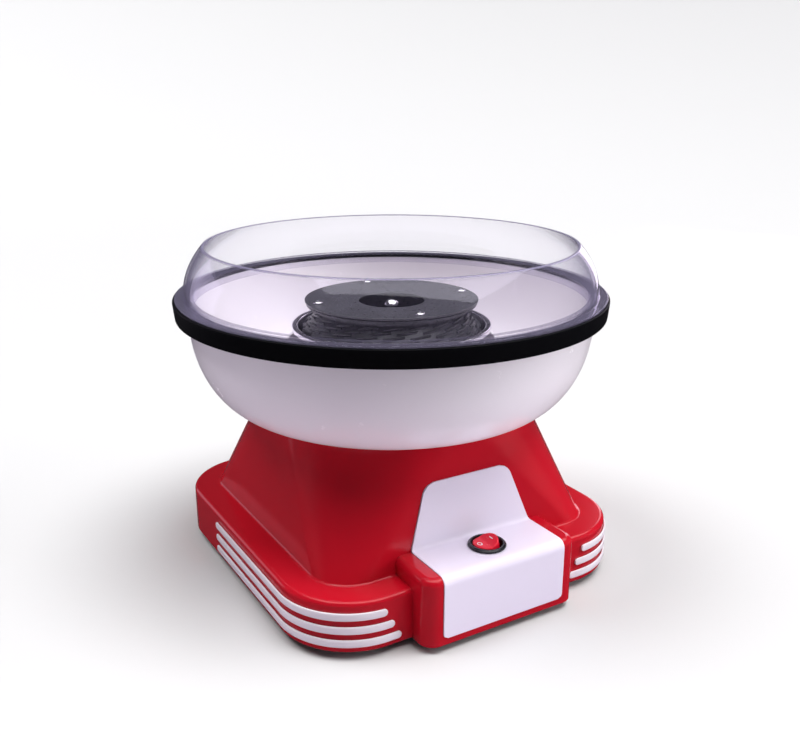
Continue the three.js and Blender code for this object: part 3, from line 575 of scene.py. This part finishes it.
def panel_mesh(name, grow, inner, outer):
    """The strip as a closed sheet between two offsets of its profile."""
    dense_inner = resample(panel_profile(inner))
    rows = len(dense_inner)
    dense_outer = resample(panel_profile(outer), rows)
    centre = resample(panel_profile(0.0), rows)
    fractions = [k / PANEL_COLUMNS for k in range(1 - PANEL_COLUMNS, PANEL_COLUMNS)]
    fractions = [-1.0, -0.98] + fractions + [0.98, 1.0]
    columns = len(fractions)
    size = rows * columns
    verts, faces = [], []
    for layer in (dense_inner, dense_outer):
        for (y, z), (cy, cz) in zip(layer, centre):
            half = panel_half_width(cz, cy, grow)
            verts.extend((half * f, y, z) for f in fractions)
    for i in range(rows - 1):
        for k in range(columns - 1):
            a = i * columns + k
            faces.append((a, a + 1, a + columns + 1, a + columns))
            faces.append((size + a, size + a + columns, size + a + columns + 1, size + a + 1))
    border = list(range(columns))
    border += [i * columns + columns - 1 for i in range(1, rows)]
    border += [(rows - 1) * columns + k for k in range(columns - 2, -1, -1)]
    border += [i * columns for i in range(rows - 2, 0, -1)]
    for a, b in zip(border, border[1:] + border[:1]):
        faces.append((a, size + a, size + b, b))
    return mesh_piece(name, verts, faces)


def hollow():
    """The space inside the shell: plinth, neck and switch box."""
    below = PLINTH_BOTTOM - 2.0
    ceiling = PLINTH_TOP - WALL
    half, radius = PLINTH_HALF - WALL, PLINTH_RADIUS - WALL
    space = stack("inner", [(half, half, radius, z, 0.0) for z in (below, ceiling)])
    neck = stack("neck", [neck_section(z, WALL) for z in (ceiling - 0.5, NECK_TOP - WALL)])
    boolean(space, neck, "UNION")
    box = stack("well", box_sections(WALL, below, BOX_TOP - WALL, BOX_INNER_EDGE))
    boolean(space, box, "UNION")
    return space


def base_shell(looks):
    shell = stack("base_shell_body", outer_sections())
    boolean(shell, stack("box", box_sections(0.0, PLINTH_BOTTOM, BOX_TOP, BOX_EDGE)), "UNION")
    boolean(shell, hollow(), "DIFFERENCE")
    drill(shell, DECK_HOLE, NECK_TOP)
    boolean(shell, panel_mesh("recess", 0.25, -PANEL_THICK - 0.2, 4.0), "DIFFERENCE")
    drill(shell, BARREL_RADIUS + 0.8, BOX_TOP, SWITCH_Y)
    gland = middle(*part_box("cord_gland"))
    hole = cylinder_tool(GLAND_HOLE, -12.0, 12.0)
    move(hole, Matrix.Rotation(pi / 2, 4, "X"),
         Matrix.Translation((gland[0], PLINTH_HALF * MM, gland[2])))
    boolean(shell, hole, "DIFFERENCE")
    tidy_mesh(shell, 30.0)
    shell.modifiers.new("normals", "WEIGHTED_NORMAL").keep_sharp = True
    apply_modifiers(shell)
    place(shell, "base", "base_shell", looks)


def front_panel(looks):
    panel = panel_mesh("front_panel_strip", 0.0, -PANEL_THICK, 0.0)
    drill(panel, BARREL_RADIUS + 0.4, PANEL_TOP, SWITCH_Y)
    tidy_mesh(panel)
    bevel(panel, width=0.4, segments=3, angle=60.0)
    place(panel, "base", "front_panel", looks)


# ------------------------------------------------------------------ stripes
STRIPE_CORE = PLINTH_HALF - PLINTH_RADIUS
STRIPE_ARC = (PLINTH_RADIUS + GAP) * pi / 2
STRIPE_SIDE_RUN = STRIPE_CORE + STRIPE_SIDE_END


def stripe_point(along, out, side):
    """A point at a distance along a stripe and out from the plinth's core corner."""
    turn = min(max((along - STRIPE_SIDE_RUN) / (PLINTH_RADIUS + GAP), 0.0), pi / 2)
    back = max(0.0, STRIPE_SIDE_RUN - along)
    across = max(0.0, along - STRIPE_SIDE_RUN - STRIPE_ARC)
    return (side * (STRIPE_CORE + out * cos(turn) - across),
            -STRIPE_CORE - out * sin(turn) + back)


def squared(value, power):
    """Pushes a sine or cosine toward 1 or -1, which squares off a round section."""
    return math.copysign(abs(value) ** power, value)


def stripe(row, side, looks):
    """One bar round a front corner; side is -1 for the left and 1 for the right."""
    z, front_end = STRIPE_ROWS[row]
    total = STRIPE_SIDE_RUN + STRIPE_ARC + STRIPE_CORE - front_end
    tip = STRIPE_HEIGHT / 2
    marks = [tip * (1 - cos(pi / 2 * k / STRIPE_TIP_STEPS)) for k in range(1, STRIPE_TIP_STEPS + 1)]
    inner = [tip + (total - 2 * tip) * k / STRIPE_LENGTH_STEPS
             for k in range(1, STRIPE_LENGTH_STEPS)]
    rings = []
    for along in marks + inner + [total - m for m in reversed(marks)]:
        end = min(along, total - along, tip)
        half = math.sqrt(end * (2 * tip - end))
        ring = []
        for k in range(STRIPE_ROUND):
            a = 2 * pi * k / STRIPE_ROUND
            bulge = STRIPE_THICK / 2 * (1 + squared(sin(a), 0.55) * min(1.0, 0.35 + half / tip))
            x, y = stripe_point(along, PLINTH_RADIUS + GAP * 0.4 + bulge, side)
            ring.append((x, y, z + half * squared(cos(a), 0.7)))
        rings.append(ring)
    node = f"stripe_{'left' if side < 0 else 'right'}_{row}"
    place(mesh_piece(f"{node}_bar", *stitch(rings), sharp_angle=50.0), "base", node, looks)


def stripes(looks):
    for row in STRIPE_ROWS:
        for side in (-1, 1):
            stripe(row, side, looks)


# ------------------------------------------------------------------ switch
def switch_housing(looks):
    seat = PANEL_TOP + GAP
    profile = [(0.0, BARREL_BOTTOM), (BARREL_RADIUS, BARREL_BOTTOM), (BARREL_RADIUS, seat),
               (BEZEL_RADIUS, seat), (BEZEL_RADIUS, SWITCH_TOP - 0.9),
               (BEZEL_RADIUS - 1.1, SWITCH_TOP), (BEZEL_BORE + 0.3, SWITCH_TOP - 0.1),
               (BEZEL_BORE, SWITCH_TOP - 1.2), (BEZEL_BORE, BEZEL_FLOOR), (0.0, BEZEL_FLOOR)]
    radii = [0, 0.4, 0, 0.2, 0.5, 0.6, 0.3, 0.3, 0, 0]
    body = turned("switch_body", fillet(profile, radii), segments=128, closed=False)
    move(body, Matrix.Translation((0, SWITCH_Y * MM, 0)))
    place(body, "base", "switch_housing", looks)


def rocker_height(x):
    """Top of the rocker above its pivot: two flats that meet in a soft valley."""
    return ROCKER_VALLEY + math.sqrt(x * x + 0.35) * math.tan(ROCKER_LEAN)


def on_rocker(x, y, lift):
    return (x, y, rocker_height(x) + lift)


def rocker_rings():
    """The straight side, the rounded top edge, and rings that close in to the middle."""
    rings = [circle(ROCKER_RADIUS, low, ROCKER_ROUND) for low in (-4.0, -2.0)]
    tops = []
    for k in range(EDGE_STEPS + 1):
        a = pi / 2 * k / EDGE_STEPS
        tops.append((ROCKER_RADIUS - ROCKER_EDGE * (1 - cos(a)), -ROCKER_EDGE * (1 - sin(a))))
    tops += [((ROCKER_RADIUS - ROCKER_EDGE) * (1 - k / 12) + 0.02, 0.0) for k in range(1, 12)]
    for radius, lift in tops:
        rings.append([on_rocker(x, y, lift) for x, y, _ in circle(radius, 0.0, ROCKER_ROUND)])
    return rings


def seat_rocker(obj):
    """Tips a piece from the rocker's own frame to its off position and moves it to the switch."""
    move(obj, Matrix.Rotation(-ROCKER_LEAN, 4, "Y"),
         Matrix.Translation((0, SWITCH_Y * MM, SWITCH_PIVOT * MM)))


def rocker(looks):
    cap = mesh_piece("rocker_cap", *stitch(rocker_rings()), sharp_angle=40.0)
    seat_rocker(cap)
    place(cap, "rocker", "rocker", looks)
    print_white = plastic("print_white", (0.82, 0.80, 0.84), 0.45, grain=1500.0)
    marks = joined("rocker_marks", [off_mark(), on_mark()])
    seat_rocker(marks)
    marks.data.materials.append(print_white)
    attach(marks, "rocker")


def off_mark():
    """The printed ring on the pressed half."""
    rings = []
    for radius, lift in ((OFF_MARK_INNER, -PRINT_HALF), (OFF_MARK_INNER, PRINT_HALF),
                         (OFF_MARK_OUTER, PRINT_HALF), (OFF_MARK_OUTER, -PRINT_HALF)):
        rings.append([on_rocker(OFF_MARK_X + x, OFF_MARK_STRETCH * y, lift)
                      for x, y, _ in circle(radius, 0.0, MARK_ROUND)])
    return mesh_piece("off_mark", *stitch(rings, closed_path=True))


def on_mark():
    """The printed bar on the raised half."""
    section = ((ON_MARK_LEFT, -PRINT_HALF), (ON_MARK_RIGHT, -PRINT_HALF),
               (ON_MARK_RIGHT, PRINT_HALF), (ON_MARK_LEFT, PRINT_HALF))
    rings = []
    for k in range(13):
        y = -ON_MARK_HALF + 2 * ON_MARK_HALF * k / 12
        rings.append([on_rocker(x, y, lift) for x, lift in section])
    return mesh_piece("on_mark", *stitch(rings))


# ------------------------------------------------------------------ bowl, rim and shield
def bowl_curve(inset):
    """The bowl's side from its top edge down to its flat bottom."""
    points = []
    for k in range(BOWL_STEPS + 1):
        a = pi / 2 * k / BOWL_STEPS
        across, down = cos(a) ** (2 / BOWL_POWER), sin(a) ** (2 / BOWL_POWER)
        points.append((BOWL_BOTTOM_RADIUS + (BOWL_TOP_RADIUS - inset - BOWL_BOTTOM_RADIUS) * across,
                       BOWL_TOP - (BOWL_TOP - BOWL_BOTTOM - inset) * down))
    return points


def bowl(looks):
    floor = BOWL_BOTTOM + BOWL_WALL
    lip = BOWL_TOP_RADIUS - BOWL_WALL
    # The first point only gives the direction of the bowl's floor into the collar's fillet.
    collar_out = COLLAR_RADIUS + BOWL_WALL
    collar = fillet([(lip - 40, floor), (76.0, floor), (collar_out + 0.6, floor + 7.0),
                     (collar_out, COLLAR_TOP), (COLLAR_RADIUS, COLLAR_TOP),
                     (COLLAR_RADIUS, BOWL_BOTTOM)], [0, 5.0, 5.0, 0.8, 0.8, 0.0])[1:]
    edge = fillet([(BOWL_TOP_RADIUS, BOWL_TOP + 1), (BOWL_TOP_RADIUS, BOWL_LIP), (lip, BOWL_LIP),
                   (lip, BOWL_TOP + 1)], [0, 0.8, 0.8, 0])
    profile = collar + bowl_curve(0.0)[::-1] + edge + bowl_curve(BOWL_WALL)
    place(turned("bowl_shell", profile, segments=192), "bowl", "bowl", looks)


def bowl_rim(looks):
    inside = BOWL_TOP_RADIUS + 0.3
    lip = BOWL_TOP_RADIUS - BOWL_WALL
    profile = [(inside, BOWL_TOP), (RIM_FOOT - 0.2, BOWL_TOP), (RIM_OUTER, RIM_TOP),
               (RIM_OUTER - 1.4, RIM_TOP), (RIM_OUTER - 1.8, RIM_TOP - 0.5), (lip, RIM_TOP - 0.5),
               (lip, BOWL_LIP + GAP), (inside, BOWL_LIP + GAP)]
    profile = fillet(profile, [0, 0.9, 1.0, 0.3, 0.2, 0.3, 0, 0], closed=True)
    place(turned("rim_ring", profile, segments=192), "bowl", "bowl_rim", looks)


def shield_curve(inset):
    points = []
    for k in range(SHIELD_STEPS + 1):
        t = k / SHIELD_STEPS
        swell = (SHIELD_BASE_RADIUS - SHIELD_TOP_RADIUS) * (1 - t ** SHIELD_POWER)
        points.append((SHIELD_TOP_RADIUS + swell - inset,
                       SHIELD_BASE + (SHIELD_TOP - SHIELD_BASE) * t))
    return points


def splash_shield(looks):
    """The wall, and at its foot the flange that lies on the rim and the skirt inside the bowl."""
    seat = RIM_TOP + GAP
    skirt = BOWL_TOP_RADIUS - BOWL_WALL - 0.4
    flange = RIM_OUTER - 1.4
    outer = shield_curve(0.0)
    inner = shield_curve(SHIELD_WALL)[::-1]
    foot = fillet([(skirt - 1.6, SHIELD_BASE), (skirt - 1.6, seat - 6), (skirt, seat - 6),
                   (skirt, seat), (flange, seat), (flange, SHIELD_BASE), outer[0], outer[1]],
                  [0, 0.4, 0.4, 0.3, 0.4, 0.4, 0.8, 0])[:-1]
    top = fillet([outer[-2], outer[-1], inner[0], inner[1]], [0, 0.7, 0.7, 0])[1:-1]
    end = fillet([inner[-2], inner[-1], foot[0]], [0, 0.8, 0])[1:-1]
    profile = foot + outer[2:-1] + top + inner[2:-1] + end
    wall = turned("shield_wall", profile, segments=192, sharp_angle=60.0)
    place(wall, "shield", "splash_shield", looks)


# ------------------------------------------------------------------ heater well and carrier
def heater_well(looks):
    profile = [(WELL_BORE, WELL_FLOOR), (WELL_FLOOR_RADIUS, WELL_FLOOR),
               (WELL_THROAT + 0.6, WELL_TOP - 4.2), (WELL_RIM - 0.6, WELL_TOP - 3.2),
               (WELL_RIM, WELL_TOP), (WELL_THROAT, WELL_TOP), (WELL_THROAT - 0.8, WELL_TOP - 4.0),
               (WELL_FLOOR_RADIUS - WELL_SHEET, WELL_FLOOR + WELL_SHEET),
               (WELL_BORE, WELL_FLOOR + WELL_SHEET)]
    radii = [0, 2.0, 0.8, 0.8, 1.9, 1.2, 3.0, 2.4, 0]
    dish = turned("well_dish", fillet(profile, radii, 6, closed=True), segments=160)
    place(dish, "base", "heater_well", looks)


def heater_carrier(looks):
    top, foot = WELL_FLOOR - GAP, NECK_TOP + GAP
    inside = WELL_FLOOR_RADIUS - CARRIER_SIDE
    profile = [(WELL_BORE, top), (WELL_FLOOR_RADIUS, top), (WELL_FLOOR_RADIUS, foot),
               (inside, foot), (inside, top - CARRIER_DECK), (WELL_BORE, top - CARRIER_DECK)]
    profile = fillet(profile, [0, 1.5, 0.3, 0.3, 1.0, 0], closed=True)
    place(turned("carrier_skirt", profile, segments=128), "base", "heater_carrier", looks)


# ------------------------------------------------------------------ spinner head
def head_plate(looks):
    profile = [(PLATE_HOLE, PLATE_TOP - PLATE_DISH - PLATE_THICK),
               (PLATE_RADIUS - 0.4, PLATE_TOP - PLATE_THICK), (PLATE_RADIUS, PLATE_TOP),
               (PLATE_RADIUS - 3.0, PLATE_TOP - 0.05), (PLATE_HOLE + 2.0, PLATE_TOP - PLATE_DISH),
               (PLATE_HOLE, PLATE_TOP - PLATE_DISH - 0.4)]
    profile = fillet(profile, [0.3, 0.4, 0.7, 0.5, 0.6, 0.3], 4, closed=True)
    place(turned("plate_disc", profile, segments=160), "head", "head_top_plate", looks)


def head_drum(looks):
    inner = [(r - DRUM_WALL, z) for r, z in DRUM_OUTLINE[2:]][::-1] + [DRUM_LIP]
    radii = [0.3, 0.3, 1.0, 2.5, 1.6, 1.2, 0.3] + [0.3, 1.0, 1.0, 2.0, 0.5, 0.3]
    profile = fillet(list(DRUM_OUTLINE) + inner, radii, 5, closed=True)
    parts = [turned("drum_wall", profile, segments=160)] + drum_louvres()
    place(joined("drum_louvred", parts), "head", "head_drum", looks)


def drum_louvres():
    """Short pressed-out louvres, slanted and staggered in rows round the flared wall."""
    foot, top = Vector(LOUVRE_FOOT), Vector(LOUVRE_TOP)
    slope = (top - foot).normalized()
    out = Vector((slope.y, -slope.x))
    sweep = 2 * pi / LOUVRES_PER_ROW * 0.8
    section = ((-0.85, -0.35), (-0.8, 0.75), (-0.1, 1.15), (0.85, -0.35))
    louvres = []
    for row in range(LOUVRE_ROWS):
        base = foot.lerp(top, (row + 0.5) / LOUVRE_ROWS)
        for index in range(LOUVRES_PER_ROW):
            start = 2 * pi * (index + 0.5 * (row % 2)) / LOUVRES_PER_ROW
            rings = []
            for k in range(9):
                t = k / 8
                a = start + sweep * t
                swell = max(0.12, sin(pi * t)) ** 0.35
                ring = []
                for along, away in section:
                    p = base + slope * (along + LOUVRE_SLANT * (t - 0.5))
                    p += out * (away if away < 0 else away * swell)
                    ring.append((p.x * cos(a), p.x * sin(a), p.y))
                rings.append(ring)
            louvres.append(mesh_piece("louvre", *stitch(rings), sharp_angle=60.0))
    return louvres


def head_floor(looks):
    profile = [(HUB_BORE, HUB_BOTTOM), (HUB_RADIUS, HUB_BOTTOM), (HUB_RADIUS, HEAD_FLOOR_LOW),
               (HEAD_FLOOR_RADIUS, HEAD_FLOOR_LOW), (HEAD_FLOOR_RADIUS, HEAD_FLOOR_HIGH),
               (HUB_RADIUS + 3.0, HEAD_FLOOR_HIGH), (HUB_RADIUS, HEAD_FLOOR_HIGH + 6.0),
               (HUB_RADIUS - 1.0, HUB_TOP), (HUB_BORE, HUB_TOP)]
    profile = fillet(profile, [0, 0.5, 0.5, 0.8, 0.8, 3.0, 3.0, 0.6, 0], closed=True)
    place(turned("head_hub_floor", profile, segments=128), "head", "head_floor", looks)


def hub_cap(looks):
    bottom = HUB_TOP + GAP
    profile = fillet([(0.0, bottom), (CAP_FLANGE, bottom), (CAP_FLANGE, bottom + 2.4),
                      (CAP_RADIUS, bottom + 3.0), (CAP_RADIUS, bottom + CAP_WALL)],
                     [0, 0.4, 0.7, 0.4, 0])
    profile += quarter_arc(CAP_RADIUS, bottom + CAP_WALL, CAP_DOME, 12)
    dome = turned("hub_dome", profile, segments=96, closed=False, sharp_angle=60.0)
    place(dome, "head", "hub_cap", looks)


def screw(name, body, node, looks, matrix, length, head_radius, shank):
    """A pan-head screw with a cross recess, modelled head up at the origin and then placed."""
    dome, flat = head_radius * 0.55, 0.5
    profile = [(0.0, -length), (shank, -length + shank), (shank, 0.0), (head_radius, 0.0),
               (head_radius, flat)] + quarter_arc(head_radius, flat, dome - flat, 8)
    obj = turned(name, profile, segments=48, closed=False)
    reach, slot = head_radius * 0.62, 0.34
    for wide, deep in ((reach, slot), (slot, reach)):
        rings = [[(x * wide * t, y * deep * t, z) for x, y in ((-1, -1), (1, -1), (1, 1), (-1, 1))]
                 for t, z in ((0.5, dome - 1.0), (1.0, dome + 0.4))]
        boolean(obj, mesh_piece("cross", *stitch(rings)), "DIFFERENCE")
    tidy_mesh(obj, 40.0)
    move(obj, matrix)
    place(obj, body, node, looks)


def screws(looks):
    for index, degrees in enumerate(HEAD_SCREW_ANGLES):
        a = radians(degrees)
        seat = Matrix.Translation((HEAD_SCREW_RADIUS * cos(a) * MM, HEAD_SCREW_RADIUS * sin(a) * MM,
                                   PLATE_TOP * MM))
        screw(f"head_fastener_{index + 1}", "head", f"head_screw_{index + 1}", looks,
              seat @ Matrix.Rotation(0.7 * index, 4, "Z"), **HEAD_SCREW)
    for index in range(4):
        node = f"cover_screw_{index + 1}"
        low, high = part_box(node)
        x, y, _ = middle(low, high)
        seat = Matrix.Translation((x, y, low[2] + COVER_SCREW_SEAT * MM))
        head_down = Matrix.Rotation(pi, 4, "X") @ Matrix.Rotation(0.9 * index, 4, "Z")
        screw(f"cover_fastener_{index + 1}", "base", node, looks, seat @ head_down, **COVER_SCREW)


# ------------------------------------------------------------------ feet and gland
def feet(looks):
    profile = fillet([(0.0, 0.8), (3.0, 0.8), (4.0, 0.0), (8.4, 0.0), (9.0, 2.4), (10.0, 3.2),
                      (10.0, 5.3), (0.0, 5.3)], [0, 0.3, 0.3, 0.8, 0.4, 0.4, 0.3, 0])
    for index in range(4):
        node = f"foot_{index + 1}"
        x, y, _ = middle(*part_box(node))
        pad = turned(f"foot_pad_{index + 1}", profile, segments=64, closed=False)
        move(pad, Matrix.Translation((x, y, 0.0)))
        place(pad, "base", node, looks)


def cord_gland(looks):
    low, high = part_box("cord_gland")
    x, _, z = middle(low, high)
    face = high[1] / MM - 2.2
    profile = [(3.6, 104.0), (5.6, 104.0), (5.6, face), (8.4, face), (8.4, face + 2.2),
               (6.4, face + 2.2), (4.6, face + 1.2), (3.6, face + 1.2)]
    profile = fillet(profile, [0, 0.3, 0, 0.2, 0.7, 0.6, 0.6, 0.4], closed=True)
    bush = turned("gland_bush", profile, segments=64)
    move(bush, Matrix.Rotation(-pi / 2, 4, "X"), Matrix.Translation((x, 0.0, z)))
    place(bush, "base", "cord_gland", looks)


# ------------------------------------------------------------------ studio
def make_floor():
    """A pale sweep: flat under the machine, rising gently far out all round."""
    rings = []
    for k in range(FLOOR_RINGS):
        radius = FLOOR_START + (SWEEP_REACH - FLOOR_START) * k / (FLOOR_RINGS - 1)
        rise = max(0.0, (radius - FLAT_REACH) / (SWEEP_REACH - FLAT_REACH))
        rings.append(circle(radius, SWEEP_HEIGHT * rise ** 2, FLOOR_ROUND))
    verts, faces = stitch(rings, caps=False)
    faces.append(tuple(range(FLOOR_ROUND)))
    floor = mesh_piece("floor", verts, faces, 60.0)
    floor.data.materials.append(
        new_material("floor_paper", (0.585, 0.583, 0.589), 0.85, Specular_IOR_Level=0.1))
    floor.visible_glossy = False
    floor.visible_diffuse = False
    floor.visible_shadow = False


def make_bounce():
    """The near part of the floor as the machine sees it; the room beyond stays dark."""
    ring = circle(BOUNCE_REACH, BOUNCE_DEPTH, FLOOR_ROUND)
    sheet = mesh_piece("floor_bounce", ring, [tuple(range(FLOOR_ROUND))], 60.0)
    sheet.data.materials.append(
        new_material("bounce_paper", (0.55, 0.51, 0.57), 0.9, Specular_IOR_Level=0.0))
    sheet.visible_camera = False
    sheet.visible_glossy = False


def new_light(name, kind, energy, direction, color):
    data = bpy.data.lights.new(name, kind)
    data.energy = energy
    data.color = color
    light = bpy.data.objects.new(name, data)
    light.rotation_euler = Vector(direction).to_track_quat("-Z", "Y").to_euler()
    scene.collection.objects.link(light)
    return light


def area_light(name, location, target, size, power, color=(1.0, 1.0, 1.0)):
    """A glowing card seen only in reflections."""
    light = new_light(name, "AREA", power, Vector(target) - Vector(location), color)
    light.data.shape = "RECTANGLE"
    light.data.size, light.data.size_y = size
    light.location = location
    light.visible_camera = False
    light.visible_diffuse = False


def sun_light(name, direction, strength, spread, color=(1.0, 1.0, 1.0)):
    """Even light over the whole sweep; it leaves no reflection of its own."""
    light = new_light(name, "SUN", strength, direction, color)
    light.data.angle = radians(spread)
    light.visible_glossy = False


def make_world():
    world = bpy.data.worlds.new("studio")
    world.use_nodes = True
    background = world.node_tree.nodes["Background"]
    background.inputs["Color"].default_value = (0.90, 0.86, 1.0, 1.0)
    background.inputs["Strength"].default_value = 0.06
    scene.world = world


def make_lights():
    sun_light("top_soft", (-0.22, 0.24, -1.0), 3.3, 38.0)
    sun_light("top_left", (0.42, -0.30, -1.0), 1.9, 30.0)
    sun_light("key_right", (-1.1, 0.65, -0.2), 2.4, 44.0)
    sun_light("fill_left", (1.1, -0.5, -0.02), 0.45, 36.0, (0.95, 0.88, 1.0))
    area_light("card_left", (-0.7, 1.05, 0.28), (-0.05, 0, 0.08), (0.7, 0.6), 1.2, (0.9, 0.82, 1.0))
    area_light("card_right", (1.25, 0.75, 0.40), (0, 0, 0.10), (0.35, 0.9), 2.4, (1.0, 0.9, 1.0))
    area_light("card_top", (0.15, -0.10, 1.30), (0, 0, 0.15), (1.9, 1.9), 26.0)


# ------------------------------------------------------------------ the scene
def finish_frame_nodes(looks):
    """Gives every CAD node its slot's material."""
    for node, obj in frame["nodes"].items():
        obj.data.materials.clear()
        obj.data.materials.append(looks[slot_of(node)])


def main():
    make_camera()
    looks = make_materials()
    finish_frame_nodes(looks)
    for build in (base_shell, front_panel, stripes, switch_housing, rocker, bowl, bowl_rim,
                  splash_shield, heater_well, heater_carrier, head_plate, head_drum, head_floor,
                  hub_cap, screws, feet, cord_gland):
        build(looks)
    make_floor()
    make_bounce()
    make_world()
    make_lights()
    scene.view_settings.view_transform = "Standard"


main()
